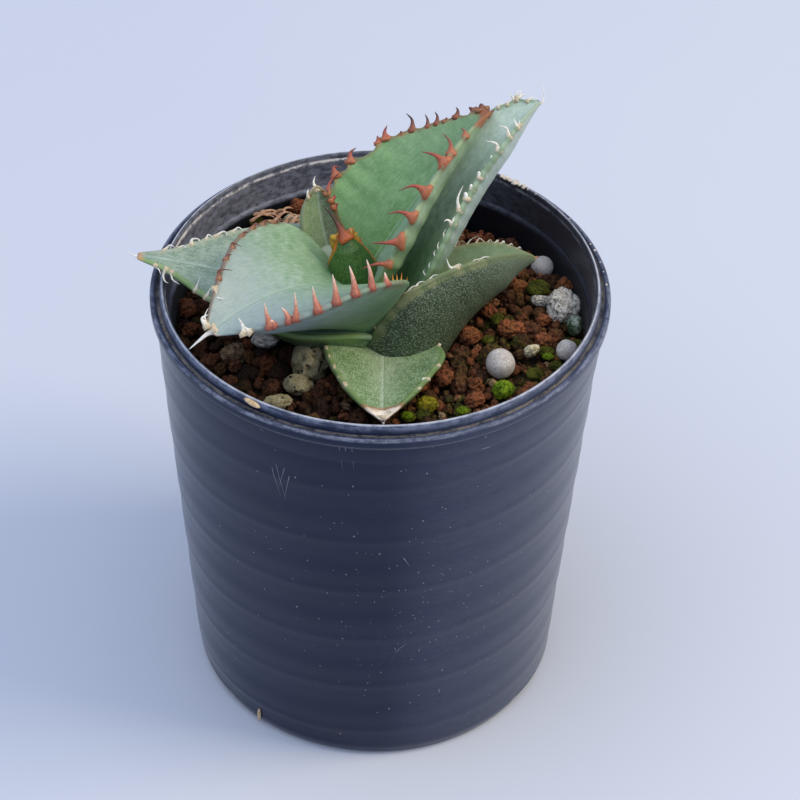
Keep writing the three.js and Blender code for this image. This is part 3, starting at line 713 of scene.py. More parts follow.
LEAVES = {
    "leaf_front": dict(
        base=(1, -8, 87.6), azimuth=(270, 271), rise=(8, 7), length=27.2,
        half=(8.4, 11.4, 8.4, 4), fold=(17, 17), roll=(-8, 6), share=0.0, thick=(4.6, 4.2, 2.2)),
    "leaf_right": dict(
        base=(1.4, -5.4, 83.4), azimuth=(28, 17.5), rise=(52, -2), length=35.5,
        half=(8.6, 13.8, 10.3, 6.6), fold=(34, 28), roll=(-36, -27), share=0.0, thick=(12, 7.2, 2.8)),
    "leaf_left": dict(
        base=(-2.3, -2.6, 90), azimuth=(179.5, 174.5), rise=(24, 3.5), length=46.5,
        half=(9.4, 14.6, 9.5, 2.6), fold=(20, 12.5), roll=(-4, -23), share=0.06, thick=(13, 6.5, 2.4)),
    "leaf_near_left": dict(
        base=(-3, -2.2, 94.2), azimuth=(220, 221), rise=(49, -19), length=40.5,
        half=(7, 17, 14.2, 6.6), fold=(22, 25), roll=(31, -22), share=0.05, thick=(9, 8, 2.8),
        tip=1.3, hump=0.12, lift=[(-1, 0.21, 3.6, 8.0), (1, 0.17, -2.6, 8.0)]),
    "leaf_outer_tall": dict(
        base=(1.6, 3.3, 89.5), azimuth=(36, 29), rise=(59.5, 33), length=49,
        half=(8.5, 11, 8.6, 7), fold=(34.5, 36.5), roll=(8, -13), share=-0.27, thick=(5, 4, 1.5), hump=0.45),
    "leaf_inner_tall": dict(
        base=(-5, 2.4, 92.3), azimuth=(37, 34.5), rise=(53, 34.5), length=43.6,
        half=(7.9, 14.9, 12.8, 5.8), fold=(35, 25.5), roll=(0, -34), share=0.0, thick=(5, 2.8, 1.5),
        hump=1.4),
    "leaf_small_back": dict(
        base=(-6.6, 4, 87.5), azimuth=(140, 135), rise=(55, 86), length=25.6,
        half=(5, 6.5, 4, 2.8), fold=(22, 13), roll=(-14, -22), share=0.12, thick=(3, 2.6, 1.5)),
    "leaf_back": dict(
        base=(2, 5, 87.4), azimuth=(84, 82), rise=(34, 14), length=27,
        half=(7, 9.6, 7.4, 3.6), fold=(24, 20), roll=(0, 0), share=0.0, thick=(5, 4, 2)),
    "leaf_centre": dict(
        base=(-5, -1.2, 92.4), azimuth=(293, 313), rise=(92, 118), length=14,
        half=(5.0, 6.2, 4.4, 2.0), fold=(48, 44), roll=(-40, -18), share=-0.05, thick=(4, 3, 1.5)),
}

EDGE_THICK = 1.1
TIP_HALF = 0.5
LEAF_ROWS = 121
TOP_POINTS = 49
UNDER_POINTS = 33
ROUND_POINTS = 4
MARGIN_CROWDING = math.pi / 2 * 0.93


def hermite(knots, values, t, end_slope=1.15):
    """A smooth curve through values at knots."""
    knots, values, t = np.asarray(knots, float), np.asarray(values, float), np.asarray(t, float)
    slopes = np.empty(len(knots))
    slopes[0] = (values[1] - values[0]) / (knots[1] - knots[0])
    slopes[-1] = (values[-1] - values[-2]) / (knots[-1] - knots[-2]) * end_slope
    slopes[1:-1] = (values[2:] - values[:-2]) / (knots[2:] - knots[:-2])
    i = np.clip(np.searchsorted(knots, t, side="right") - 1, 0, len(knots) - 2)
    h = knots[i + 1] - knots[i]
    s = (t - knots[i]) / h
    h00 = 2 * s ** 3 - 3 * s ** 2 + 1
    h10 = s ** 3 - 2 * s ** 2 + s
    h01 = -2 * s ** 3 + 3 * s ** 2
    h11 = s ** 3 - s ** 2
    return h00 * values[i] + h10 * h * slopes[i] + h01 * values[i + 1] + h11 * h * slopes[i + 1]


class Blade:
    """One leaf's surface: frames along its midrib, and its faces as functions of length and width."""

    def __init__(self, leaf):
        self.leaf = leaf
        self.rows = LEAF_ROWS
        self.t = np.linspace(0, 1, self.rows)
        az = np.radians(mix(leaf["azimuth"][0], leaf["azimuth"][1], self.t))
        el = np.radians(mix(leaf["rise"][0], leaf["rise"][1], self.t))
        self.tangent = np.stack([np.cos(el) * np.cos(az), np.cos(el) * np.sin(az), np.sin(el)], 1)
        steps = (self.tangent[1:] + self.tangent[:-1]) / 2 * leaf["length"] / (self.rows - 1)
        self.at = np.concatenate([[leaf["base"]], np.array(leaf["base"]) + np.cumsum(steps, 0)])
        side = np.stack([-np.sin(az), np.cos(az), 0 * az], 1)
        normal = np.cross(self.tangent, side)
        roll = np.radians(mix(leaf["roll"][0], leaf["roll"][1], self.t))
        self.side = turn_about(side, self.tangent, roll)
        self.normal = turn_about(normal, self.tangent, roll)
        self.bulges = []

    def frame(self, t):
        """Point, tangent, side and normal at shares t of the length."""
        x = np.clip(np.asarray(t, float), 0, 1) * (self.rows - 1)
        i = np.minimum(x.astype(int), self.rows - 2)
        s = (x - i)[:, None]
        at, *ways = (rows[i] * (1 - s) + rows[i + 1] * s
                     for rows in (self.at, self.tangent, self.side, self.normal))
        return at, *(unit(way) for way in ways)

    def half(self, t, u):
        """Half width at shares t of the length, on the side of u."""
        leaf = self.leaf
        width = hermite([0, 0.3, 0.6, 0.85, 1], [*leaf["half"], leaf.get("tip", TIP_HALF)], t)
        width = width * np.where(u > 0, 1 + leaf["share"], 1 - leaf["share"])
        for sign, where, amount, spread in self.bulges:
            near = np.exp(-(((t - where) * leaf["length"]) / spread) ** 2)
            width = width + amount * near * (np.sign(u) == sign)
        return width

    def face(self, t, u):
        """Points and outward normals of the inner face."""
        leaf = self.leaf
        at, _, side, normal = self.frame(t)
        fold = np.radians(mix(leaf["fold"][0], leaf["fold"][1], t))
        size = np.abs(u)
        soft = np.sqrt(u * u + 0.05 ** 2) - 0.05
        w = self.half(t, u)
        lift = fold * (0.55 + 0.45 * size)
        across = np.sign(u) * np.cos(lift) * w * size
        up = np.sin(lift) * w * soft
        turn = fold * (0.55 + 0.9 * size) * u / np.sqrt(u * u + 0.04 ** 2)
        points = at + across[:, None] * side + up[:, None] * normal
        out = np.cos(turn)[:, None] * normal - np.sin(turn)[:, None] * side
        for sign, where, amount, spread in leaf.get("lift", []):
            near = amount * np.exp(-(((t - where) * leaf["length"]) / spread) ** 2)
            points = points + (near * u * u * (np.sign(u) == sign))[:, None] * out
        return points, out

    def depth(self, t, u):
        """Thickness, full along the midrib and thin at the margins."""
        middle = hermite([0, 0.5, 1], self.leaf["thick"], t, 1.0)
        taper = np.minimum(1.0, 0.3 + 3.2 * (1 - t))
        hump = 1 - np.abs(u) ** 1.8
        return (EDGE_THICK + (middle - EDGE_THICK) * hump) * taper


def build_blade(shape, blade, seed):
    """The closed leaf: inner face, rounded margins and underside, row by row."""
    rows = blade.rows
    columns, us, under = [], [], []

    def shares_across(count):
        """Places from one margin to the other, closer together towards the margins."""
        return np.sin(np.linspace(-1, 1, count) * MARGIN_CROWDING) / math.sin(MARGIN_CROWDING)

    def column(points, u, share):
        columns.append(points)
        us.append(u)
        under.append(share)

    def margin(sign, turns):
        points, out = blade.face(blade.t, np.full(rows, float(sign)))
        outward = unit(np.cross(out, blade.tangent))
        outward = outward * (np.sign((outward * blade.side).sum(1)) * sign)[:, None]
        d = blade.depth(blade.t, np.full(rows, float(sign)))[:, None] / 2
        for turn in turns:
            angle = math.pi * turn / (ROUND_POINTS + 1)
            ring = points - out * d + out * np.cos(angle) * d + outward * np.sin(angle) * d
            column(ring, sign * (1 + 0.04 * math.sin(angle)), 0.5 - 0.5 * math.cos(angle))

    for u in shares_across(TOP_POINTS)[::-1]:
        column(blade.face(blade.t, np.full(rows, u))[0], u, 0.0)
    margin(-1, range(1, ROUND_POINTS + 1))
    for u in shares_across(UNDER_POINTS):
        points, out = blade.face(blade.t, np.full(rows, u))
        column(points - out * blade.depth(blade.t, np.full(rows, u))[:, None], u, 1.0)
    margin(1, range(ROUND_POINTS, 0, -1))

    stack = np.stack(columns, 1)
    n = stack.shape[1]
    verts = stack.reshape(-1, 3)
    t_all = np.repeat(blade.t, n)
    u_all = np.tile(us, rows)
    under_all = np.tile(under, rows)
    width = np.abs(blade.half(t_all, np.sign(u_all) + (u_all == 0)))
    edge_mm = np.clip(1 - np.abs(u_all), 0, 1) * width
    verts = np.concatenate([verts, [stack[0].mean(0), stack[-1].mean(0)]])

    def pad(values, first, last):
        """Values of the rows, then those of the two end vertices."""
        return np.concatenate([values, [first, last]])

    length = blade.leaf["length"]
    teeth = np.zeros(len(t_all))
    for sign, where, amount, spread in blade.bulges:
        along = (t_all - where) * length
        near = np.exp(-(along / (spread * 1.25)) ** 2 - (edge_mm / 1.1) ** 2)
        teeth = np.maximum(teeth, near * (np.sign(u_all) == sign))
    shape.add(
        verts, tube_faces(rows, n), 0,
        lt=pad(t_all, 0, 1), lu=pad(u_all, 0, 0), lunder=pad(under_all, 0.5, 0.5),
        ledge=pad(edge_mm, 5, 0), lalong=pad(t_all * length + seed * 61.7, 0, length),
        lacross=pad(u_all * width, 0, 0), lteeth=pad(teeth, 0, 0),
    )


SPINE_SIDES = 12
SPINE_RINGS = 15


def smooth_path(points, count):
    """A Catmull-Rom curve through points, sampled evenly in its parameter."""
    points = np.asarray(points, float)
    if len(points) == 2:
        points = np.array([points[0], (points[0] + points[1]) / 2, points[1]])
    ends = np.concatenate([[2 * points[0] - points[1]], points, [2 * points[-1] - points[-2]]])
    x = np.linspace(0, len(points) - 1, count)
    i = np.minimum(x.astype(int), len(points) - 2)
    s = (x - i)[:, None]
    a, b, c, d = ends[i], ends[i + 1], ends[i + 2], ends[i + 3]
    curve = (2 * a - 5 * b + 4 * c - d) * s ** 2 + (3 * b - a - 3 * c + d) * s ** 3
    return 0.5 * (2 * b + (c - a) * s + curve)


def add_spine(shape, path, along, wide, thin, flare=0.45, blunt=False, kind=0.0, slot=1):
    """A tapering spine on a path; wide is its foot's half width along the margin, thin the other one."""
    centre = smooth_path(path, SPINE_RINGS)
    first = unit((centre[1] - centre[0])[None])[0]
    centre = np.concatenate([[centre[0] - first * 0.7], centre])
    s = np.concatenate([[0.0], np.linspace(0, 1, SPINE_RINGS)])
    step = unit(np.gradient(centre, axis=0))
    a = along
    rings = []
    angles = np.linspace(0, 2 * math.pi, SPINE_SIDES, endpoint=False)
    for i in range(len(s)):
        a = a - (a @ step[i]) * step[i]
        a = a / max(np.linalg.norm(a), 1e-6)
        b = np.cross(step[i], a)
        body = math.sqrt(max(1 - s[i] ** 2, 0.0)) if blunt else (1 - s[i]) ** 0.66
        size = (1 - flare) * body + flare * math.exp(-s[i] / 0.17) * (1 - s[i])
        size = max(size, 0.03)
        share = math.exp(-s[i] / 0.25)
        ra, rb = size * mix(thin, wide, share), size * thin
        rings.append(centre[i] + np.outer(np.cos(angles) * ra, a) + np.outer(np.sin(angles) * rb, b))
    verts = np.concatenate(rings + [centre[:1], centre[-1:]])
    height = np.concatenate([np.repeat(s, SPINE_SIDES), [0, 1]])
    shape.add(verts, tube_faces(len(s), SPINE_SIDES), slot, tooth=height, tkind=kind)


# A spine whose line in the picture is shorter than this has a round end
BLUNT_BELOW = 6.5

# Spines that show in the picture, in runs of one margin side and one kind. A spine is its half width
# along the margin, its half thickness, how far it comes forward, and places in the picture, foot first.
# Side 1 is the left margin, seen from the stem. Kinds are the runs of colour in tooth_material.
SALMON, IVORY, BROWN, RED, DARK, ORANGE, BUD = range(7)

SPINES = {
    "leaf_near_left": [
        (1, IVORY, (1.3, 0.5, 0.5, 244, 331, 241, 323, 237.3, 316.3), (0.9, 0.5, 0.3, 249, 333, 243, 328)),
        (1, SALMON, (1.25, 0.56, 1.0, 269.5, 326, 265.5, 314, 263.7, 303),
         (0.9, 0.5, 0.2, 274, 327, 270, 322), (1.1, 0.52, 1.0, 296, 320, 295.6, 308, 294.5, 293.5),
         (1.1, 0.55, 0.6, 289, 321, 285, 313, 281, 308),
         (1.2, 0.62, 1.0, 318.5, 312, 315, 300, 312.9, 288.4),
         (1.1, 0.66, 1.2, 338, 305, 336.5, 291, 334, 277.5),
         (1.15, 0.7, 1.2, 355.5, 295, 353.5, 281, 349.5, 267),
         (0.95, 0.62, 1.2, 370.5, 284.5, 369, 270, 365.3, 256.5), (0.95, 0.62, 0.3, 386, 281, 384, 270)),
        (1, ORANGE, (0.3, 0.26, 0.2, 392.8, 281, 392, 273), (0.3, 0.24, 0.2, 396.5, 281.5, 396.3, 273.5),
         (0.3, 0.24, 0.2, 400.5, 282, 401.3, 273), (0.3, 0.24, 0.2, 405, 283, 407, 275)),
        (-1, IVORY, (0.7, 0.42, 0.4, 222, 292, 224, 299.5, 231, 301.2)),
        (-1, BROWN, (0.75, 0.36, 0.4, 225.5, 281, 226, 272.5, 240, 272.8),
         (0.8, 0.36, 0.2, 232, 261, 234, 257, 238, 257),
         (0.75, 0.38, 0.4, 240, 251, 240.5, 246.5, 250, 250.8),
         (0.8, 0.38, 0.2, 246, 240, 249, 236, 253, 237), (0.9, 0.4, 0.2, 254, 229, 257, 224, 262, 226),
         (0.9, 0.4, 0.2, 263, 221, 266, 217, 272, 220), (0.8, 0.34, 0.2, 275, 221, 280, 218, 286, 219)),
        (-1, IVORY, (0.5, 0.32, 0.2, 217, 331, 216, 321, 219.5, 313),
         (0.8, 0.62, 0.2, 225, 333, 221, 326, 227, 322)),
    ],
    "leaf_inner_tall": [
        (-1, RED, (0.8, 0.4, 0.2, 462, 133, 461, 128, 457, 125.6),
         (1.1, 0.5, 0.4, 455, 156, 454, 145, 446.5, 136.5), (1.9, 0.66, 0.8, 449, 166, 440, 158.5, 426, 155),
         (1.6, 0.64, 1.0, 432.5, 194.5, 420, 188.5, 405.3, 193.5),
         (1.4, 0.6, 1.0, 417, 218, 405, 213, 391, 215), (2.0, 0.78, 1.2, 400, 240, 387, 241, 370.5, 241.6),
         (1.0, 0.62, 0.8, 384, 260, 371, 260, 356.4, 264.8)),
        (1, BROWN, (1.6, 0.7, 0.3, 486, 112, 485, 107.5), (1.0, 0.5, 0.2, 478, 115, 474, 112)),
        (1, DARK, (1.0, 0.55, 0.2, 460, 119, 461, 113, 459, 109.5),
         (0.8, 0.5, 0.2, 441, 128, 441.3, 121, 438.5, 116.5),
         (0.75, 0.48, 0.2, 431, 130, 430.5, 123, 428, 118),
         (1.0, 0.56, 0.2, 418.5, 141, 418, 131, 412, 124.5)),
        (1, RED, (1.4, 0.72, 0.2, 392, 144, 391, 138, 393.5, 131.5), (1.0, 0.5, 0.2, 384, 146, 383, 140),
         (1.2, 0.66, 0.2, 358, 168, 358, 160, 364, 155), (1.2, 0.6, 0.2, 343, 181, 341, 173, 348, 173),
         (0.9, 0.5, 0.2, 331, 196, 335, 184, 346, 174.5)),
        (1, BROWN, (0.8, 0.4, 0.2, 404, 134, 403, 131), (0.8, 0.4, 0.2, 448, 120, 449, 117)),
    ],
    "leaf_outer_tall": [
        (-1, IVORY, (0.6, 0.34, 0.3, 516, 126, 514, 121, 512.5, 117.5),
         (0.4, 0.25, 0.2, 516, 125, 518, 121, 518.5, 118), (0.4, 0.25, 0.3, 517, 124, 513, 124),
         (0.7, 0.42, 0.5, 511, 138, 508.5, 129.5, 500.5, 127),
         (0.8, 0.5, 0.5, 502.5, 153, 499.5, 146, 489.8, 143.6), (0.42, 0.42, 0.3, 493.2, 159.5, 492.5, 156),
         (0.28, 0.28, 0.2, 492, 170.5, 491, 168.5), (0.64, 0.64, 0.4, 479.5, 176, 478.6, 171),
         (0.56, 0.56, 0.4, 470.4, 187.5, 469.5, 183), (0.74, 0.74, 0.4, 464, 195.5, 462.7, 190),
         (0.7, 0.5, 0.7, 455.5, 207.5, 454, 196, 459.4, 182.5),
         (0.7, 0.4, 0.5, 451, 222, 446, 218, 442.5, 219.5),
         (0.6, 0.4, 0.4, 451, 222, 452, 217, 453.5, 214.5),
         (0.4, 0.26, 0.3, 442, 237.5, 441, 232, 443, 227.5),
         (0.4, 0.26, 0.3, 434.5, 248, 433, 243, 434.5, 239),
         (0.4, 0.24, 0.3, 432.5, 255, 430.5, 251, 432, 248), (0.4, 0.24, 0.3, 425, 266, 424, 261, 426, 258),
         (0.4, 0.24, 0.3, 419, 272, 416, 268, 417, 265)),
        (1, IVORY, (0.5, 0.32, 0.1, 509, 105, 512, 101.5, 517, 103.5),
         (0.5, 0.32, 0.1, 518, 104, 519.5, 98, 522, 94), (0.5, 0.32, 0.1, 521, 103, 523.5, 97, 523, 93),
         (0.5, 0.32, 0.1, 521, 103, 526, 99, 530, 98.5), (0.5, 0.32, 0.3, 521, 103, 523.5, 107, 523, 111),
         (0.5, 0.32, 0.1, 517, 104, 514.5, 99.5, 511, 98.5), (0.5, 0.32, 0.1, 530, 102, 533, 99, 537, 100),
         (0.5, 0.32, 0.1, 500, 108, 502, 105.5, 506, 106)),
    ],
    "leaf_left": [
        (-1, IVORY, (0.5, 0.34, 0.2, 164, 251, 170, 245.5, 175, 248),
         (0.6, 0.4, 0.2, 190, 241, 191, 236, 197.5, 236, 197, 240),
         (0.5, 0.34, 0.2, 205, 237, 207.5, 232, 212, 235),
         (0.5, 0.34, 0.2, 214, 234, 222, 229, 225.5, 231, 225, 234),
         (0.5, 0.32, 0.2, 232, 231, 238, 226.5, 243, 229), (0.4, 0.28, 0.2, 178, 246, 182, 243.5, 185, 246)),
        (1, IVORY, (0.5, 0.3, 0.5, 160, 256, 162.5, 259, 164.5, 264),
         (0.55, 0.34, 0.6, 171, 258, 168.5, 263, 170.5, 269, 174, 270.5),
         (0.5, 0.32, 0.6, 176, 265, 177, 271, 184.5, 276),
         (0.6, 0.34, 0.7, 196.5, 288, 198.5, 281, 200.5, 274.5),
         (0.6, 0.34, 0.7, 210, 291, 213, 284, 216.8, 280.3)),
    ],
    "leaf_right": [
        (-1, IVORY, (0.4, 0.24, 0.7, 379, 327, 385, 323, 382.5, 317.5, 377.5, 318),
         (0.4, 0.24, 0.7, 388, 311, 394, 307, 391.5, 302.5, 386, 302),
         (0.5, 0.3, 0.7, 398, 300, 402, 293, 407, 292), (0.6, 0.36, 0.7, 406, 294, 411, 287, 417, 285),
         (0.5, 0.32, 0.6, 415, 288, 419, 282, 425, 281), (0.45, 0.26, 0.6, 428, 280, 432.4, 275, 438, 274),
         (0.9, 0.5, 0.8, 456, 271, 450.5, 269.5, 447, 261),
         (0.5, 0.32, 0.5, 455, 271, 459.5, 266.5, 462, 268),
         (0.4, 0.22, 0.5, 472, 264, 476, 260.5, 480, 261.5),
         (0.6, 0.34, 0.5, 480, 262, 484, 259, 490, 258.5)),
        (1, IVORY, (0.3, 0.17, 0.2, 451, 257, 458, 251, 461, 243, 466, 242),
         (0.3, 0.17, 0.2, 457, 250, 455, 244.5, 460, 243),
         (0.3, 0.18, 0.2, 466, 246, 470, 240.5, 473.5, 238, 479, 235.7),
         (0.3, 0.18, 0.2, 475, 242, 479, 236, 484.5, 239.8, 488, 238.8),
         (0.3, 0.17, 0.2, 487, 242, 490.5, 238.5, 494.5, 246),
         (0.5, 0.28, 0.2, 495.5, 244.5, 497.5, 241.5, 499, 243),
         (0.5, 0.28, 0.2, 501.5, 246, 503.5, 243.2, 505, 245),
         (0.45, 0.24, 0.2, 509, 247.5, 511, 245, 513, 247),
         (0.4, 0.2, 0.2, 517, 250, 519.5, 247.8, 521, 250)),
    ],
    "leaf_front": [
        (-1, IVORY, (0.5, 0.32, 0.5, 325, 349, 327, 353.5, 330, 355),
         (0.35, 0.2, 0.4, 331, 357, 332, 361, 334.5, 362),
         (0.5, 0.3, 0.6, 338, 366, 340, 373, 346, 371.5, 345, 367.5),
         (0.7, 0.42, 0.6, 351, 382, 353, 388, 357, 389.5), (0.4, 0.22, 0.3, 344, 376, 346, 378)),
        (1, IVORY, (0.5, 0.28, 0.5, 439, 343, 434.5, 350, 432.6, 356),
         (0.45, 0.27, 0.5, 434, 364, 430, 366.5, 430.5, 372),
         (0.5, 0.32, 0.5, 424, 377, 420.5, 377, 420, 381),
         (0.45, 0.28, 0.5, 416, 388, 413.8, 389, 413, 393)),
    ],
    "leaf_small_back": [
        (1, IVORY, (0.5, 0.3, 0.2, 311, 197, 310.5, 193, 312, 191)),
        (-1, BROWN, (0.7, 0.45, 0.2, 329, 190, 331, 187)),
        (-1, RED, (0.8, 0.5, 0.2, 334, 199, 337, 196, 336, 193), (0.9, 0.55, 0.2, 337, 206, 341, 203)),
    ],
    "leaf_centre": [
        (-1, RED, (0.8, 0.42, 0.2, 350, 238, 352, 233.5)),
        (-1, BUD, (0.7, 0.4, 0.2, 354, 239, 357, 236)),
        (-1, RED, (0.7, 0.42, 0.2, 361, 243, 363, 239), (0.7, 0.42, 1.2, 366, 248, 370, 246),
         (0.7, 0.42, 1.4, 372, 262, 377, 261)),
        (1, BUD, (0.6, 0.4, 0.3, 334, 243, 331, 240)),
        (1, RED, (0.6, 0.4, 0.3, 331, 251, 328, 250)),
        (1, ORANGE, (0.7, 0.5, 0.4, 334, 259, 330, 259)),
        (-1, ORANGE, (0.8, 0.45, 0.2, 358, 240, 361, 235.5), (0.9, 0.5, 0.2, 364, 244, 367, 241, 369, 243),
         (0.9, 0.55, 1.3, 369, 250, 373, 247.5), (0.8, 0.5, 1.3, 371, 254, 376, 252, 375, 249),
         (0.8, 0.5, 1.4, 373, 258, 378, 257)),
        (1, RED, (0.8, 0.55, 0.3, 330, 240, 325, 240, 322.5, 231)),
        (1, ORANGE, (0.9, 0.6, 0.3, 330, 247, 325, 246), (1.0, 0.7, 0.5, 332, 255, 326.5, 254.5, 326, 258)),
        (1, RED, (0.8, 0.5, 0.5, 336, 262, 331.5, 262)),
        (1, IVORY, (0.5, 0.3, 0.6, 341, 270, 336.5, 268.5, 334.5, 271)),
    ],
}

# Spines on margins that the picture hides: side, shares of the length, length, half width
BACK_SHARES = (0.35, 0.47, 0.58, 0.69, 0.8, 0.9)
HIDDEN_SPINES = {
    "leaf_back": [(1, BACK_SHARES, 1.5, 0.45), (-1, BACK_SHARES, 1.5, 0.45)],
    "leaf_right": [(1, (0.36, 0.42), 1.6, 0.4)],
}

# End spines: line in the picture, or length along the leaf where the picture hides it; then the half
# width, the half thickness and the kind
END_SPINES = {
    "leaf_near_left": ([(204, 340), (196, 345), (188.5, 349.8)], 1.35, 0.75, IVORY),
    "leaf_inner_tall": (1.0, 0.9, 0.5, BROWN),
    "leaf_outer_tall": ([(538, 101.5), (542.2, 99), (543.4, 91), (543, 84)], 0.5, 0.26, IVORY),
    "leaf_left": ([(140, 252), (134, 250.8), (127.5, 250.7)], 0.7, 0.32, IVORY),
    "leaf_right": ([(534, 257), (538, 256)], 0.8, 0.5, ORANGE),
    "leaf_front": ([(383, 418), (383.3, 425)], 1.2, 0.7, IVORY),
    "leaf_small_back": ([(318, 187), (315.5, 181), (315.2, 176)], 0.7, 0.36, IVORY),
    "leaf_back": (1.7, 0.6, 0.4, IVORY),
    "leaf_centre": ([(343, 240), (336, 229), (328.5, 217), (324, 207)], 1.6, 0.72, BUD),
}


# Colours of each kind of spine from foot to point, in the order of the kinds
TOOTH_COLOURS = (
    ((0.0, (160, 90, 70)), (0.3, (196, 124, 100)), (0.65, (222, 172, 150)), (1.0, (244, 222, 204))),
    ((0.0, (206, 190, 160)), (0.25, (234, 228, 214)), (1.0, (248, 246, 240))),
    ((0.0, (152, 104, 74)), (0.4, (122, 74, 58)), (1.0, (92, 58, 52))),
    ((0.0, (180, 108, 74)), (0.35, (172, 86, 66)), (0.75, (140, 72, 66)), (1.0, (112, 64, 64))),
    ((0.0, (146, 84, 60)), (0.4, (104, 60, 50)), (0.7, (54, 40, 44)), (1.0, (60, 50, 56))),
    ((0.0, (186, 148, 44)), (0.5, (206, 136, 44)), (1.0, (180, 84, 36))),
    ((0.0, (178, 88, 40)), (0.25, (134, 62, 38)), (0.5, (66, 38, 30)), (1.0, (44, 30, 28))),
)


def tooth_material():
    """Spines: the kind picks the run of colours from foot to point."""
    nodes = Nodes("agave_teeth")
    height, kind = nodes.value("tooth"), nodes.value("tkind")
    streak = nodes.noise(nodes.place_mm(), 2.2, 3.0)
    colour, *others = [nodes.ramp(height, *stops) for stops in TOOTH_COLOURS]
    for low, other in enumerate(others):
        colour = nodes.blend(colour, other, nodes.window(kind, low + 0.4, low + 0.6))
    colour = nodes.blend(colour, (60, 34, 26), nodes.window(streak, 0.55, 0.3, 0.0, 0.35))
    nodes.set(colour=colour, roughness=nodes.window(streak, 0.3, 0.7, 0.36, 0.5), specular=0.45)
    nodes.set(subsurface=0.1, subsurface_scale=0.7 * MM, subsurface_radius=(1.0, 0.6, 0.4))
    return nodes.set(normal=nodes.bump(streak, 0.06, 0.5))


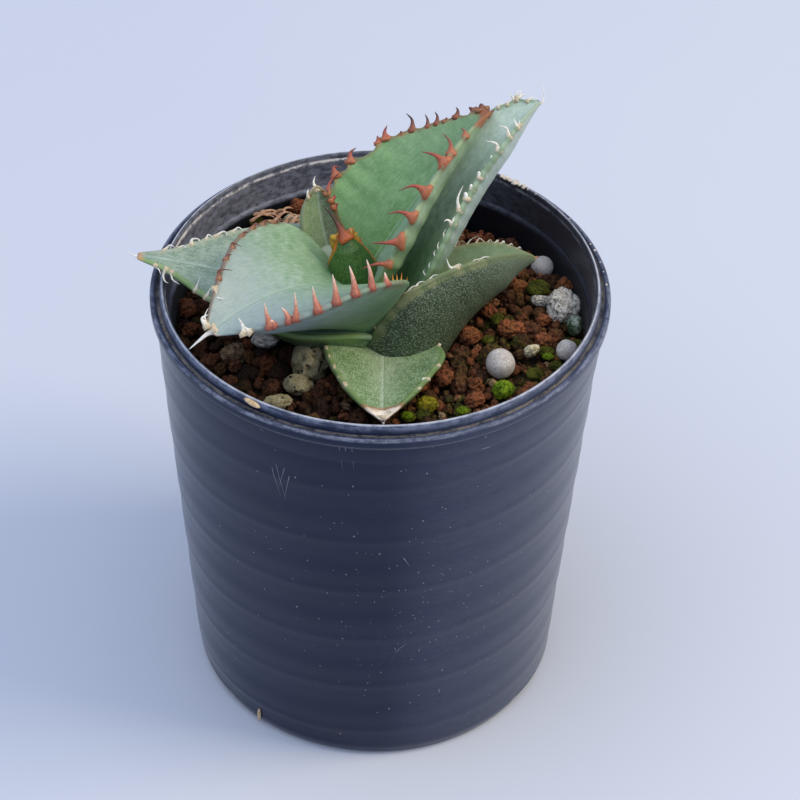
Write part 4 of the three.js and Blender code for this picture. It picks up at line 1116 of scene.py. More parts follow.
def leaf_material(name, look):
    """Waxy skin: deep green under a pale bloom, long fibres, flecks, a coloured margin and a dry tip."""
    nodes = Nodes("skin_" + name)
    window, times, plus, less, noise = nodes.window, nodes.times, nodes.plus, nodes.less, nodes.noise
    t, u, under = nodes.value("lt"), nodes.value("lu"), nodes.value("lunder")
    along, across = nodes.value("lalong"), nodes.value("lacross")
    layer = times(under, 40.0)
    grid = nodes.vector(across, along, layer)
    broad = noise(grid, 0.14, 2.0, 0.5)
    patch = noise(grid, 0.55, 4.0, 0.62)
    fibre = noise(nodes.vector(across, times(along, 0.16), layer), 3.0, 3.0, 0.6)
    fleck_grid = nodes.vector(across, times(along, look.get("fleck_stretch", 0.7)), layer)
    flecks = noise(fleck_grid, look.get("fleck_scale", 4.2), 1.5, 0.5, 0.4)
    top_side = less(1.0, under)

    # bloom over the deep green, then the shades of foot, end, middle and the two halves
    deep = nodes.blend(look["deep"], look["under_deep"], under)
    pale = nodes.blend(look["pale"], look["under_pale"], under)
    share = plus(plus(times(broad, 0.3), times(patch, 0.35)), times(fibre, 0.35))
    colour = nodes.blend(deep, pale, window(share, *look.get("bloom", (0.36, 0.68))))
    foot_share = window(t, look.get("foot_to", 0.4), 0.05, 0.0, look.get("foot_share", 0.6))
    colour = nodes.blend(colour, look["foot"], foot_share)
    if "far" in look:
        tint, reach, amount = look["far"]
        colour = nodes.blend(colour, tint, window(t, reach, reach + 0.45, 0.0, amount))
    if "under_far" in look:
        colour = nodes.blend(colour, look["under_far"], times(window(t, 0.5, 0.95, 0.0, 0.85), under))
    if "middle" in look:
        tint, amount = look["middle"]
        mask = window(nodes.math("ABSOLUTE", u), 0.55, 0.05, 0.0, amount)
        colour = nodes.blend(colour, tint, times(mask, window(t, 0.95, 0.6)))
    halves = (("left_tint", 0.05, 0.9), ("right_tint", -0.02, -0.16), ("right_far", -0.25, -0.95))
    for key, first, last in halves:
        if key in look:
            tint, amount = look[key]
            colour = nodes.blend(colour, tint, times(window(u, first, last, 0.0, amount), top_side))
    colour = nodes.blend(colour, look["deep"], window(fibre, 0.6, 0.36, 0.0, 0.22))
    # pale flecks, dense on the undersides of the older leaves
    fleck_top = look.get("fleck_top", 0.15)
    amount = plus(times(under, look.get("fleck_under", 0.3) - fleck_top), fleck_top)
    mask = times(window(flecks, 0.5, 0.64), amount)
    colour = nodes.blend(colour, look.get("fleck", (165, 182, 172)), mask)
    # fold along the middle: a fine dark line of painted shade, with a paler line of painted highlight beside
    # it
    line = times(window(across, -0.75, -0.1, 0.0, look["line"]), window(across, 0.12, 0.0))
    colour = nodes.blend(colour, look.get("crease_highlight_colour", (196, 214, 206)), times(line, top_side))
    off_crease = nodes.math("ABSOLUTE", less(across, 0.14))
    crease_shade = window(off_crease, 0.16, 0.03, 0.0, look.get("crease_shade", 0.3))
    colour = nodes.blend(colour, look["deep"], times(crease_shade, top_side))
    # margins, one strength for each side
    edge = nodes.value("ledge")
    for key, first, last in (("margin_left", 0.2, 0.5), ("margin_right", -0.2, -0.5)):
        tint, amount, width, *start = look[key]
        start = start[0] if start else 0.02
        rim = times(window(edge, width, width * 0.3), window(u, first, last, 0.0, amount),
                    window(t, start, start + 0.06))
        colour = nodes.blend(colour, tint, rim)
    tint, amount = look["stain"]
    colour = nodes.blend(colour, tint, window(nodes.value("lteeth"), 0.3, 0.85, 0.0, amount))
    # dry tip, with a ragged start and on some leaves a dark border
    tip, start = look["tip"]
    ragged = plus(t, times(less(patch, 0.5), 0.09))
    if "tip_right" in look:
        ragged = plus(ragged, window(u, 0.3, -0.9, 0.0, look["tip_right"]))
    if "tip_edge" in look:
        colour = nodes.blend(colour, look["tip_edge"], window(ragged, start - 0.03, start, 0.0, 0.85))
        tip = nodes.blend(tip, look["tip_edge"], window(patch, 0.5, 0.68, 0.0, 0.7))
    colour = nodes.blend(colour, tip, window(ragged, start, start + 0.03))
    shine = look.get("rough", 0.4)
    relief = nodes.bump(noise(nodes.place_mm(), 3.6, 3.0, 0.6), 0.035, 0.4)
    relief = nodes.bump(fibre, 0.05, 0.35, relief)
    relief = nodes.bump(noise(grid, 0.34, 3.0), 0.9, 0.4, relief)
    nodes.set(colour=colour, roughness=window(patch, 0.3, 0.7, shine, shine + 0.14), specular=0.42)
    nodes.set(subsurface=0.1, subsurface_scale=1.2 * MM, subsurface_radius=(0.35, 0.8, 0.25))
    return nodes.set(normal=relief)


# Each leaf's colours and the shares they cover. far is a colour, where it starts and its share; a margin
# is a colour, its share, its width in millimetres and where it starts; stain is a colour and its share
# round the spines; tip is a colour and where it starts.
LOOKS = {
    "leaf_near_left": dict(
        deep=(110, 148, 110), pale=(160, 182, 160), under_deep=(96, 128, 100), under_pale=(132, 154, 132),
        foot=(116, 154, 96), foot_to=0.5, foot_share=0.5, bloom=(0.34, 0.66),
        far=((158, 170, 176), 0.35, 0.8), margin_left=((122, 142, 122), 0.15, 0.5),
        margin_right=((112, 78, 60), 0.7, 0.4, 0.3), tip=((206, 190, 166), 0.975), fleck_top=0.12,
        fleck_under=0.1, line=0.3, crease_highlight_colour=(176, 192, 176), crease_shade=0.55, stain=((132, 98, 76), 0.35)),
    # The inner tall leaf's underside colours are painted pale: painted light that lifts the shade on the
    # underside strip by its right margin.
    "leaf_inner_tall": dict(
        deep=(86, 132, 68), pale=(136, 172, 118), under_deep=(150, 178, 140), under_pale=(186, 204, 182),
        foot=(78, 128, 44), foot_to=0.62, foot_share=0.6, bloom=(0.34, 0.66),
        far=((126, 152, 126), 0.42, 0.5), left_tint=((118, 154, 108), 0.35),
        right_tint=((160, 182, 164), 0.7), right_far=((150, 174, 140), 0.4),
        margin_left=((126, 104, 66), 0.4, 0.4), margin_right=((150, 160, 104), 0.3, 0.4),
        tip=((164, 106, 76), 0.935), tip_right=0.05, fleck_top=0.1, fleck_under=0.1, line=0.4,
        crease_highlight_colour=(176, 196, 182), crease_shade=0.2, stain=((156, 96, 60), 0.5)),
    # The outer tall leaf's colours and its far tint are paler than its bloom alone: partly its own pale
    # bloom, partly painted light in place of the fill that the inner tall leaf shades off its inner face.
    "leaf_outer_tall": dict(
        deep=(146, 178, 140), pale=(210, 222, 202), under_deep=(132, 150, 142), under_pale=(166, 180, 174),
        foot=(96, 160, 60), foot_to=0.45, foot_share=0.7, far=((186, 204, 196), 0.3, 0.7),
        margin_left=((150, 160, 130), 0.3, 0.4), margin_right=((140, 166, 112), 0.4, 0.5),
        tip=((200, 196, 176), 0.985), fleck_top=0.25, fleck_under=0.3, fleck=(196, 206, 196), line=0.0,
        stain=((110, 140, 90), 0.5), bloom=(0.36, 0.64)),
    "leaf_right": dict(
        deep=(112, 138, 100), pale=(142, 160, 126), under_deep=(40, 56, 34), under_pale=(54, 70, 44),
        foot=(40, 56, 30), foot_to=0.35, foot_share=0.4, under_far=(112, 128, 106),
        margin_left=((150, 150, 110), 0.5, 0.5), margin_right=((120, 134, 80), 0.4, 0.8),
        tip=((190, 150, 96), 0.98), fleck_top=0.3, fleck_under=0.8, fleck=(136, 148, 130), line=0.1,
        stain=((150, 152, 112), 0.4), rough=0.46, fleck_scale=5.0),
    "leaf_left": dict(
        deep=(100, 128, 104), pale=(160, 176, 160), under_deep=(36, 70, 24), under_pale=(52, 90, 38),
        foot=(108, 142, 92), foot_to=0.3, foot_share=0.4, bloom=(0.36, 0.64),
        margin_left=((120, 152, 82), 0.75, 1.0), margin_right=((184, 190, 172), 0.4, 0.6), fleck_top=0.4,
        fleck_under=0.45, fleck=(178, 192, 176), line=0.3, tip=((186, 150, 108), 0.965),
        stain=((170, 176, 140), 0.35)),
    "leaf_front": dict(
        deep=(90, 122, 72), pale=(138, 162, 120), under_deep=(58, 86, 50), under_pale=(76, 104, 66),
        foot=(108, 134, 86), foot_to=0.3, foot_share=0.4, bloom=(0.4, 0.6), middle=((180, 196, 170), 0.4),
        margin_left=((104, 130, 66), 0.6, 0.9), margin_right=((104, 130, 66), 0.6, 0.9),
        tip=((238, 228, 214), 0.88), tip_edge=(158, 116, 88), fleck_top=0.5, fleck_under=0.3,
        fleck=(198, 210, 184), fleck_stretch=0.5, line=0.35, crease_highlight_colour=(206, 220, 206), crease_shade=0.35,
        stain=((150, 160, 120), 0.4)),
    # The small back leaf's right half is darkened by its right tint: painted shade.
    "leaf_small_back": dict(
        deep=(118, 142, 98), pale=(156, 170, 134), under_deep=(96, 116, 84), under_pale=(128, 142, 116),
        foot=(96, 122, 80), right_tint=((104, 112, 90), 0.8), margin_left=((170, 170, 132), 0.35, 0.35),
        margin_right=((130, 92, 66), 0.7, 0.5), tip=((176, 160, 130), 0.95), fleck_top=0.6, line=0.3,
        stain=((140, 90, 60), 0.5)),
    "leaf_back": dict(
        deep=(104, 134, 98), pale=(140, 166, 136), under_deep=(48, 72, 44), under_pale=(66, 92, 60),
        foot=(80, 110, 70), margin_left=((120, 130, 80), 0.5, 0.6), margin_right=((120, 130, 80), 0.5, 0.6),
        tip=((190, 168, 140), 0.96), fleck_top=0.25, fleck_under=0.5, line=0.3,
        stain=((170, 160, 120), 0.4)),
    "leaf_centre": dict(
        deep=(28, 68, 24), pale=(70, 118, 50), under_deep=(30, 70, 24), under_pale=(64, 104, 42),
        foot=(30, 70, 16), bloom=(0.34, 0.62), margin_left=((186, 128, 40), 0.95, 1.1),
        margin_right=((186, 128, 40), 0.95, 1.1), tip=((158, 76, 34), 0.93), fleck_top=0.05,
        fleck_under=0.25, fleck=(128, 150, 70), line=0.0, stain=((200, 104, 30), 0.9), rough=0.46),
}


def nearest_share(blade, side, x, y):
    """The share of the length where a margin passes nearest to a place in the picture."""
    t = np.linspace(0.02, 1, 500)
    points, _ = blade.face(t, np.full(len(t), float(side)))
    seen, _ = in_picture(points)
    return float(t[np.argmin(((seen - (x, y)) ** 2).sum(1))])


def picture_path(root, line, forward):
    """The path in space that starts at root and is seen along a line in the picture."""
    seen, depth = in_picture(root)
    shifts = np.array(line, float) - line[0] + seen[0]
    share = np.linspace(0, 1, len(line))
    return [from_picture(x, y, float(depth[0]) - forward * s) for (x, y), s in zip(shifts, share)]


def make_leaf(index, name, leaf, teeth_mat):
    blade = Blade(leaf)
    rng = random.Random(index * 17 + 3)
    hump = leaf.get("hump", 0.3)
    spines = []
    for side, kind, *rows in SPINES.get(name, []):
        for wide, thin, forward, *places in rows:
            line = list(zip(places[::2], places[1::2]))
            share = nearest_share(blade, side, *line[0])
            spines.append((side, share, line, wide, thin, kind, forward))
    hidden = HIDDEN_SPINES.get(name, [])
    # the margin swells out at the foot of each spine
    for side, share, _, wide, *_ in spines:
        blade.bulges.append((side, share, hump * min(wide, 1.2), 0.6 + 0.5 * wide))
    for side, shares, _, wide in hidden:
        blade.bulges.extend((side, share, hump * wide, 0.7 + 0.5 * wide) for share in shares)
    shape = Shape()
    build_blade(shape, blade, index)

    def foot(side, share):
        where, u = np.array([share]), np.array([float(side)])
        _, tangent, across, normal = (row[0] for row in blade.frame(where))
        point, out = (row[0] for row in blade.face(where, u))
        return point - out * 0.3, tangent, across * side, normal

    for side, share, line, wide, thin, kind, forward in spines:
        root, tangent, _, _ = foot(side, share)
        blunt = math.dist(line[0], line[-1]) < BLUNT_BELOW and thin > 0.25
        body = thin * (1.35 if kind in (SALMON, BROWN) else 1.15)
        flare = 0.3 if kind == SALMON else 0.42
        path = picture_path(root, line, forward)
        add_spine(shape, path, tangent, max(wide, body), body, flare, blunt, kind)
    for side, shares, length, wide in hidden:
        for share in shares:
            root, tangent, outward, normal = foot(side, share)
            size = length * rng.uniform(0.75, 1.25)
            way = outward * 0.8 + tangent * rng.uniform(-0.2, 0.5) + normal * 0.45
            middle = root + way * size * 0.5
            tip = middle + (way + tangent * rng.uniform(-0.4, 0.5)) * size * 0.5
            add_spine(shape, [root, middle, tip], tangent, wide, wide * 0.6, kind=IVORY)
    line, wide, thin, kind = END_SPINES[name]
    root = blade.at[-1] - blade.normal[-1] * 0.3 - blade.tangent[-1] * 0.6
    if isinstance(line, float):
        path = [root, root + blade.tangent[-1] * (line + 0.6)]
    else:
        seen = in_picture(root)[0][0]
        shifted = [(x - line[0][0] + seen[0], y - line[0][1] + seen[1]) for x, y in line[:-1]]
        path = picture_path(root, shifted + [line[-1]], 0.0)
    add_spine(shape, path, blade.side[-1], wide, thin, flare=0.25, kind=kind)
    return shape.make(name + "_blade", [leaf_material(name, LOOKS[name]), teeth_mat], [name])


# Bed: rough ground, then clay grains in three sizes

SOIL_HEIGHT = 85.5
BACK_DIP = 3.0
BED_RADIUS = 40.3
BED_RINGS = 76
BED_SPOKES = 260
# the bed's side and foot under its top: radius and height
BED_SIDE = ((BED_RADIUS, 60.0), (35.5, FLOOR_THICKNESS + 1.6), (34.6, FLOOR_THICKNESS + 0.35))
MOSSY_SPOTS = [on_level(x, y, 86.5)[:2] for x, y in (
    (538, 290), (503, 389), (427, 408), (465, 412), (498, 322), (546, 358), (535, 380), (455, 400),
    (580, 330), (500, 345))]
MOSS_SPREAD = 14.0
# grains: name, number, radii, how closely they pack, height over the bed, ball level, roughness, seed
GRAINS = (
    ("clay_grains_large", 125, (1.5, 2.35), 0.88, (-0.9, 0.5), 4, 0.62, 31),
    ("clay_grains_middle", 480, (0.75, 1.4), 0.84, (-1.1, 0.2), 3, 0.6, 32),
    ("clay_grains_small", 1500, (0.3, 0.7), 0.7, (-1.8, -0.4), 2, 0.4, 33),
)
PALE_SHARE = 0.035
GRID = 5


def bed_height(x, y):
    dip = np.clip((0.34 * x + 0.94 * y - 20) / 21, 0, 1)
    return SOIL_HEIGHT - BACK_DIP * dip * dip * (3 - 2 * dip)


def greenness(x, y):
    """How mossy the bed is at a place."""
    return max(math.exp(-((x - sx) ** 2 + (y - sy) ** 2) / MOSS_SPREAD) for sx, sy in MOSSY_SPOTS)


def clay_material(name, dark, mid, light, rare):
    """Baked clay: tone picks the colour, green is a coat of moss, and a darkening value darkens it, for
    dampness and for painted shade in the gaps between the grains and in the leaves' shadow.
    """
    nodes = Nodes(name)
    place = nodes.place_mm()
    fine = nodes.noise(place, 1.5, 5.0, 0.7)
    broad = nodes.noise(place, 0.35, 3.0, 0.6)
    colour = nodes.ramp(nodes.value("tone"), (0.0, dark), (0.45, mid), (0.82, light), (1.0, rare))
    colour = nodes.blend(colour, (22, 15, 11), nodes.window(fine, 0.56, 0.36, 0.0, 0.85))
    colour = nodes.blend(colour, (196, 150, 112), nodes.window(fine, 0.6, 0.8, 0.0, 0.45))
    moss = nodes.blend((38, 44, 12), (92, 98, 30), nodes.window(fine, 0.4, 0.65))
    colour = nodes.blend(colour, moss, nodes.times(nodes.value("green"), nodes.window(broad, 0.38, 0.6)))
    # darkening for dampness, and painted shade on the ground in the gaps and on the grains in the leaves'
    # shadow
    colour = nodes.blend(colour, (20, 16, 12), nodes.times(nodes.value("wet"), 0.8))
    pores = nodes.window(nodes.cells(place, 1.6), 0.0, 0.4)
    height = nodes.plus(nodes.times(fine, 1.6), nodes.times(pores, 0.5))
    nodes.set(colour=colour, roughness=0.9, specular=0.2)
    return nodes.set(normal=nodes.bump(height, 0.5, 1.0))


def lump(rng, level, rough):
    """A crumbly clod of unit size, with pits and knobs."""
    verts, faces = BALLS[level]
    shift = rng.uniform(-50, 50, 3)
    broad = fractal(verts + shift, 1.3, 2, 5)
    knobs = 1 - 2 * np.abs(value_noise(verts * 2.6 + shift, 9))
    crumbs = value_noise(verts * 6.5 + shift, 13)
    push = 1 + rough * (0.75 * broad + 0.42 * knobs + 0.2 * crumbs)
    pits = np.clip(value_noise(verts * 3.4 + shift * 1.7, 21) - 0.35, 0, 1)
    push = np.maximum(push - 0.7 * pits, 0.3)
    shape = verts * push[:, None]
    return (shape * rng.uniform(0.7, 1.15, 3)) @ random_turn(rng).T, faces


def make_ground(soil):
    radii = np.linspace(0, BED_RADIUS, BED_RINGS + 1)[1:]
    angles = np.linspace(0, 2 * math.pi, BED_SPOKES, endpoint=False)
    rr, aa = np.meshgrid(radii, angles, indexing="ij")
    x, y = (rr * np.cos(aa)).ravel(), (rr * np.sin(aa)).ravel()
    flat = np.stack([x, y, 0 * x], 1)
    z = bed_height(x, y) - 1.7 + 1.1 * fractal(flat, 3.4, 3, 11) + 0.4 * fractal(flat, 1.1, 2, 12)
    low = []
    for r, height in BED_SIDE:
        low.append(np.stack([r * np.cos(angles), r * np.sin(angles), np.full(BED_SPOKES, height)], 1))
    # at its first height under the top the bed stays just clear of the pot's wall
    reach = mix(INNER_BASE, STEP_RADIUS - 0.15, (60 - 4.4) / (STEP_HEIGHT - 7.4)) - 0.4
    low[0][:, :2] *= reach / BED_RADIUS
    ends = [[0, 0, SOIL_HEIGHT - 1.5], [0, 0, BED_SIDE[-1][1]]]
    verts = np.concatenate([np.stack([x, y, z], 1)] + low + [ends])
    faces = [face[::-1] for face in tube_faces(BED_RINGS + len(BED_SIDE), BED_SPOKES)]
    green = np.array([0.25 + 0.75 * greenness(px, py) for px, py in verts[:, :2]])
    ground = Shape()
    # the ground shows only in the gaps between the grains and is painted near black: painted shade there,
    # with dampness
    ground.add(verts, faces, tone=0.02, wet=0.75, green=green)
    ground.make("bed_ground", [soil], ["soil"])


def make_bed(tree, keep_out):
    """The ground and its grains, clear of the leaves and of the loose pieces."""
    soil = clay_material("clay_red", (62, 42, 34), (112, 70, 48), (168, 98, 64), (204, 170, 134))
    make_ground(soil)
    taken = {}

    def take(x, y, r):
        taken.setdefault((int(x // GRID), int(y // GRID)), []).append((x, y, r))

    def free(x, y, r, packing):
        cx, cy = int(x // GRID), int(y // GRID)
        for cell in ((ix, iy) for ix in range(cx - 1, cx + 2) for iy in range(cy - 1, cy + 2)):
            for qx, qy, q in taken.get(cell, ()):
                if (x - qx) ** 2 + (y - qy) ** 2 < (packing * (r + q)) ** 2:
                    return False
        return True

    def clear_of_leaves(x, y, z, radius):
        centre = Vector((x, y, z))
        near, normal, _, distance = tree.find_nearest(centre)
        return near is None or ((centre - near).dot(normal) > 0 and distance > radius * 0.85)

    def scatter(name, wanted, sizes, packing, drop, level, rough, seed):
        rng = np.random.default_rng(seed)
        shape = Shape()
        made = tries = 0
        while made < wanted and tries < wanted * 30:
            tries += 1
            radius = rng.uniform(*sizes)
            reach = BED_RADIUS - radius * 0.85
            x, y = rng.uniform(-reach, reach, 2)
            if x * x + y * y > reach * reach or not free(x, y, radius, packing):
                continue
            z = float(bed_height(x, y)) + rng.uniform(*drop)
            if not clear_of_leaves(x, y, z, radius):
                z -= radius * 1.1
                if not clear_of_leaves(x, y, z, radius):
                    continue
            take(x, y, radius)
            verts, faces = lump(rng, level, rough)
            # the left and the front left lie in the leaves' shadow, and their grains are painted darker,
            # greyer and with more darkening: a painted shadow
            shade = float(smoothstep(6, -14, x + 0.5 * y))
            tone = float(np.clip(rng.normal(0.52 - 0.2 * shade, 0.2), 0.02, 0.86))
            if rng.random() < PALE_SHARE:
                tone = 1.0
            mossy = rng.random() < 0.45
            green = greenness(x, y)
            green = min(1.0, rng.random() * 0.55 + green if mossy else green * 1.3)
            damp_and_shadow = rng.random() * (0.15 + 0.5 * shade)
            shape.add(verts * radius + np.array([x, y, z]), faces, tone=tone, wet=damp_and_shadow, green=green)
            made += 1
        shape.make(name, [soil])

    for place in keep_out:
        take(*place)
    for grains in GRAINS:
        scatter(*grains)


# Loose pieces on the bed: centre, half sizes, roughness and material

STONES = {
    "ball_white_front": ((23.5, -14.8, 88.2), (2.7, 2.7, 2.9), 0.06, "white_grain"),
    "ball_white_back": ((32.5, 19.2, 85.2), (2.2, 2.2, 2.2), 0.05, "white_grain"),
    "pumice_right": ((36.1, 4.2, 87.6), (3.2, 3.8, 2.9), 0.36, "pumice"),
    "pumice_right_lobe": ((31.8, 6.6, 86.6), (1.9, 1.2, 1.2), 0.36, "pumice"),
    "stone_mossy": ((38.3, -1, 86.9), (1.5, 2, 2), 0.25, "mossy"),
    "stone_pale_right": ((36.5, -8.7, 87), (2, 2, 2), 0.2, "white_grain"),
    "stone_cream_right": ((29.6, -9.5, 87.2), (1.5, 1.5, 1.9), 0.34, "stone"),
    "moss_green": ((24.1, -20.6, 86.6), (2.1, 2, 1.6), 0.3, "moss"),
    "moss_yellow": ((9.5, -25.2, 86.4), (2, 1.7, 1.4), 0.3, "moss_gold"),
    "clay_right_1": ((25.8, -2.8, 86.9), (2.8, 1.9, 1.7), 0.45, "clay"),
    "clay_right_2": ((17.6, -5, 87), (2.1, 2.3, 2), 0.45, "clay"),
    "clay_right_3": ((32.1, -5.8, 86.7), (1.8, 1.6, 1.4), 0.45, "clay"),
    "clay_right_4": ((27.2, 11.4, 86), (2.2, 1.8, 1.6), 0.45, "clay"),
    "clay_right_5": ((21.2, 3, 86.9), (1.8, 1.7, 1.6), 0.45, "clay"),
    "clay_right_6": ((32.2, 0.8, 86.6), (1.6, 1.4, 1.3), 0.45, "clay"),
    "clay_front": ((12.4, -17.6, 86.8), (2.1, 2.2, 2), 0.45, "clay"),
    "clay_front_low": ((18.7, -23.5, 86.4), (2, 1.9, 1.6), 0.45, "clay"),
    "pumice_front_left": ((-13.2, -15.4, 88), (3.4, 3.8, 3.7), 0.2, "pored"),
    "pumice_front_low": ((-15.3, -20.7, 86.8), (2.8, 2, 1.8), 0.26, "pored"),
    "pumice_left": ((-22.3, -7.9, 87), (2.7, 2, 2), 0.3, "chalky"),
    "pumice_front_flat": ((-19.1, -25.6, 86.5), (2.8, 1.6, 1.5), 0.28, "pored"),
    "clay_left_1": ((-37.2, -4.4, 86.4), (2, 2, 1.8), 0.45, "clay"),
    "clay_left_2": ((-38, 1.3, 86.2), (1.7, 1.7, 1.5), 0.45, "clay"),
    "clay_back": ((-17.6, 34.6, 87), (1.9, 1.8, 1.9), 0.35, "clay"),
    "pebble_back": ((-18.9, 31, 86.6), (1.7, 1.2, 1.2), 0.25, "stone"),
    "dry_flake_back": ((-22.9, 28.6, 87.2), (2.3, 1.2, 0.9), 0.3, "dry_flake"),
}


# Kinds of stone: name, two tones, grain, how strong the pores are, their scale, moss and stain
STONE_LOOKS = {
    "white_grain": ("grain_white", (190, 184, 180), (218, 214, 212), (172, 160, 152), 0.0, 0.75, None,
                    (148, 122, 102)),
    "pumice": ("pumice_grey", (186, 180, 170), (228, 224, 216), (116, 108, 98), 0.7, 1.1),
    # the chalky stone sits in the leaves' shadow and is painted near white: its own pale colour, with
    # painted light
    "chalky": ("pumice_white", (238, 234, 224), (252, 250, 246), (200, 190, 172), 0.5, 0.9),
    "pored": ("pumice_cream", (140, 132, 100), (176, 168, 136), (112, 104, 76), 1.0, 0.62),
    "stone": ("stone_cream", (204, 194, 156), (240, 232, 204), (130, 118, 82), 0.5, 0.9),
    "mossy": ("stone_mossed", (120, 132, 116), (176, 184, 172), (70, 84, 62), 0.2, 0.9, (48, 70, 38)),
    "dry_flake": ("flake_tan", (176, 134, 88), (206, 168, 122), (132, 96, 60), 0.0, 0.75),
}
# Kinds of moss: name and two tones
MOSS_LOOKS = {
    "moss": ("moss_bright", (84, 124, 16), (158, 186, 36)),
    "moss_gold": ("moss_yellow", (132, 128, 22), (196, 180, 50)),
    "moss_dull": ("moss_olive", (54, 62, 16), (116, 118, 34)),
}
ROUND_KINDS = ("white_grain", "mossy", "dry_flake")
CRUMBLY_KINDS = ("clay", "moss", "moss_gold")

# Flat cushions that creep between the grains: name, kind, height, breadth, bumps, leaflets, and places
# and sizes in the picture
CUSHIONS = (
    ("moss_carpet", "moss_dull", 86.2, 0.9, 0.35, 420, (
        (538, 288, 2.4), (546, 352, 1.5), (535, 374, 1.6), (497, 319, 1.4), (408, 417, 1.4), (463, 412, 1.5),
        (536, 301, 1.3), (488, 340, 1.1), (556, 366, 1.2), (578, 345, 1.2), (257, 222, 1.6))),
    ("moss_sprigs", "moss", 86.9, 0.8, 0.0, 300, (
        (407, 416, 1.0), (462, 411, 0.9), (548, 357, 0.9), (425, 400, 0.8))),
)


def stone_material(name, low, high, grain, pore_share, pore_scale, moss=None, stain=None):
    nodes = Nodes(name)
    place = nodes.place_mm()
    patch = nodes.noise(place, 0.5, 3.0, 0.6)
    fine = nodes.noise(place, 2.6, 4.0, 0.7)
    dots = nodes.window(nodes.cells(place, pore_scale), 0.33, 0.2)
    dots = nodes.times(dots, nodes.window(patch, 0.42, 0.56, 0.15, 1.0))
    colour = nodes.blend(low, high, nodes.window(patch, 0.3, 0.7))
    colour = nodes.blend(colour, grain, nodes.window(fine, 0.56, 0.4, 0.0, 0.7))
    if moss is not None:
        colour = nodes.blend(colour, moss, nodes.window(patch, 0.56, 0.44, 0.0, 0.9))
    if stain is not None:
        broad = nodes.noise(place, 0.3, 3.0, 0.6)
        colour = nodes.blend(colour, stain, nodes.window(broad, 0.6, 0.72, 0.0, 0.7))
    colour = nodes.blend(colour, (24, 20, 16), nodes.times(dots, pore_share))
    nodes.set(colour=colour, roughness=0.85, specular=0.3)
    height = nodes.less(fine, nodes.times(dots, 2.5 * pore_share))
    return nodes.set(normal=nodes.bump(height, 0.4, 0.8))


def moss_material(name, low, high):
    nodes = Nodes(name)
    place = nodes.place_mm()
    fine = nodes.noise(place, 2.8, 4.0, 0.7)
    broad = nodes.noise(place, 0.5, 2.0)
    share = nodes.plus(nodes.times(fine, 0.6), nodes.times(broad, 0.4))
    colour = nodes.blend(low, high, nodes.window(share, 0.38, 0.62))
    colour = nodes.blend(colour, (24, 34, 8), nodes.window(fine, 0.48, 0.36, 0.0, 0.8))
    nodes.set(colour=colour, roughness=0.8, specular=0.25)
    return nodes.set(normal=nodes.bump(fine, 0.6, 1.0))


def moss_tuft(shape, rng, centre, half, count, height):
    """Tiny pointed leaflets standing on a cushion."""
    for _ in range(count):
        way = unit(rng.normal(size=3))
        way[2] = abs(way[2])
        at = np.array(centre) + way * np.array(half) * 0.9
        up = unit(way + 0.3 * rng.normal(size=3))
        side = unit(np.cross(up, rng.normal(size=3)))
        deep = np.cross(up, side)
        h, w = height * rng.uniform(0.6, 1.3), height * 0.28
        corners = [at + side * w, at + deep * w, at - side * w, at - deep * w, at + up * h]
        shape.add(corners, [(0, 1, 4), (1, 2, 4), (2, 3, 4), (3, 0, 4), (3, 2, 1, 0)])


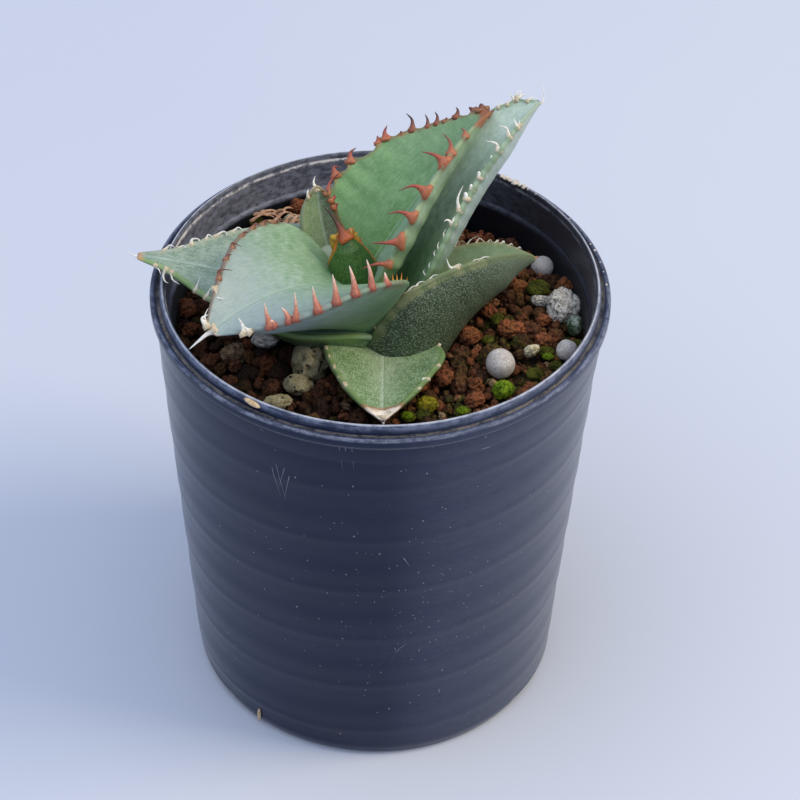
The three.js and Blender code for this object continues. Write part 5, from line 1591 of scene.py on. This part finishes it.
def make_stones():
    """The loose pieces and the moss; gives back the round places they take up on the bed."""
    rng = np.random.default_rng(99)
    looks = {kind: stone_material(*look) for kind, look in STONE_LOOKS.items()}
    looks.update({kind: moss_material(*look) for kind, look in MOSS_LOOKS.items()})
    looks["clay"] = clay_material("clay_lump", (84, 52, 38), (142, 84, 56), (180, 108, 70), (206, 168, 132))
    taken = []
    for name, (centre, half, rough, kind) in STONES.items():
        if kind in ROUND_KINDS:
            verts, faces = BALLS[4]
            push = 1 + rough * fractal(verts + rng.uniform(-50, 50, 3), 1.2, 3, 7)
            verts = verts * push[:, None] * half * 1.04
        else:
            crumble = 0.2 if kind in CRUMBLY_KINDS else 0.0
            verts, faces = lump(rng, 5 if kind == "pumice" else 4, rough + crumble)
            verts = verts / np.abs(verts).max(0) * half * 1.12
        shape = Shape()
        tone, green = rng.uniform(0.45, 0.8), rng.uniform(0, 0.35)
        shape.add(verts + centre, faces, tone=tone, wet=0.0, green=green)
        if kind.startswith("moss"):
            moss_tuft(shape, rng, centre, half, 900, 0.42)
        shape.make(name + "_fine", [looks[kind]], [name])
        taken.append((centre[0], centre[1], 0.8 * max(half[0], half[1])))
    for name, kind, height, breadth, bumps, leaflets, places in CUSHIONS:
        shape = Shape()
        for x, y, size in places:
            centre = on_level(x, y, height)
            half = (size, size * breadth, size * 0.5)
            verts, faces = BALLS[3]
            if bumps:
                push = 1 + bumps * fractal(verts + rng.uniform(-50, 50, 3), 1.0, 3, 8)
                verts = verts * push[:, None]
                taken.append((centre[0], centre[1], size * 0.8))
            shape.add(verts * half + centre, faces)
            moss_tuft(shape, rng, centre, half, leaflets, 0.4)
        shape.make(name, [looks[kind]])
    return taken


CURLS = ((266, 215), (271, 213), (276, 216), (281, 213), (285, 217), (291, 219), (296, 223), (300, 226),
         (305, 229), (287, 211), (310, 233), (262, 219), (298, 219))


def make_dry_curls():
    """Shrivelled strips of old leaf on the bed at the back left."""
    rng = np.random.default_rng(12)
    shape = Shape()
    for x, y in CURLS:
        start = on_level(x, y, 87.9)
        turn = rng.uniform(-0.5, 0.9)
        half = rng.uniform(2.2, 4.0) / 2
        way = np.array([math.cos(turn), math.sin(turn), 0.0])
        lift = np.array([0, 0, rng.uniform(0.4, 1.0)])
        bend = np.array([-way[1], way[0], 0]) * rng.uniform(-0.8, 0.8)
        line = [start - way * half, start + lift + bend * 0.5, start + way * half + bend]
        add_spine(shape, line, np.cross(way, [0, 0, 1.0]), rng.uniform(0.5, 0.8), 0.28, 0.1, True, slot=0)
    shape.make("dry_curls", [plain_material("dry_leaf", (150, 104, 76), (220, 180, 148), 1.1)])


def make_stem():
    nodes = Nodes("stem_fibre")
    fibre = nodes.noise(nodes.place_mm((1, 1, 0.2)), 2.5, 4.0)
    nodes.set(colour=nodes.ramp(fibre, (0.3, (92, 84, 52)), (0.7, (150, 140, 98))), roughness=0.8)
    nodes.set(normal=nodes.bump(fibre, 0.2, 0.6))
    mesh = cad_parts["stem"].data
    mesh.materials.clear()
    mesh.materials.append(nodes.material)


make_camera()
make_stage()
make_lights()
make_pot()
teeth_mat = tooth_material()
leaf_verts, leaf_faces = [], []
for order, (leaf_name, leaf_values) in enumerate(LEAVES.items()):
    leaf_mesh = make_leaf(order, leaf_name, leaf_values, teeth_mat).data
    offset = len(leaf_verts)
    leaf_verts.extend([vertex.co / MM for vertex in leaf_mesh.vertices])
    leaf_faces.extend([tuple(offset + i for i in face.vertices) for face in leaf_mesh.polygons])
leaf_tree = BVHTree.FromPolygons(leaf_verts, leaf_faces)
stone_places = make_stones()
make_bed(leaf_tree, stone_places)
make_stem()
make_dry_curls()
make_wear()
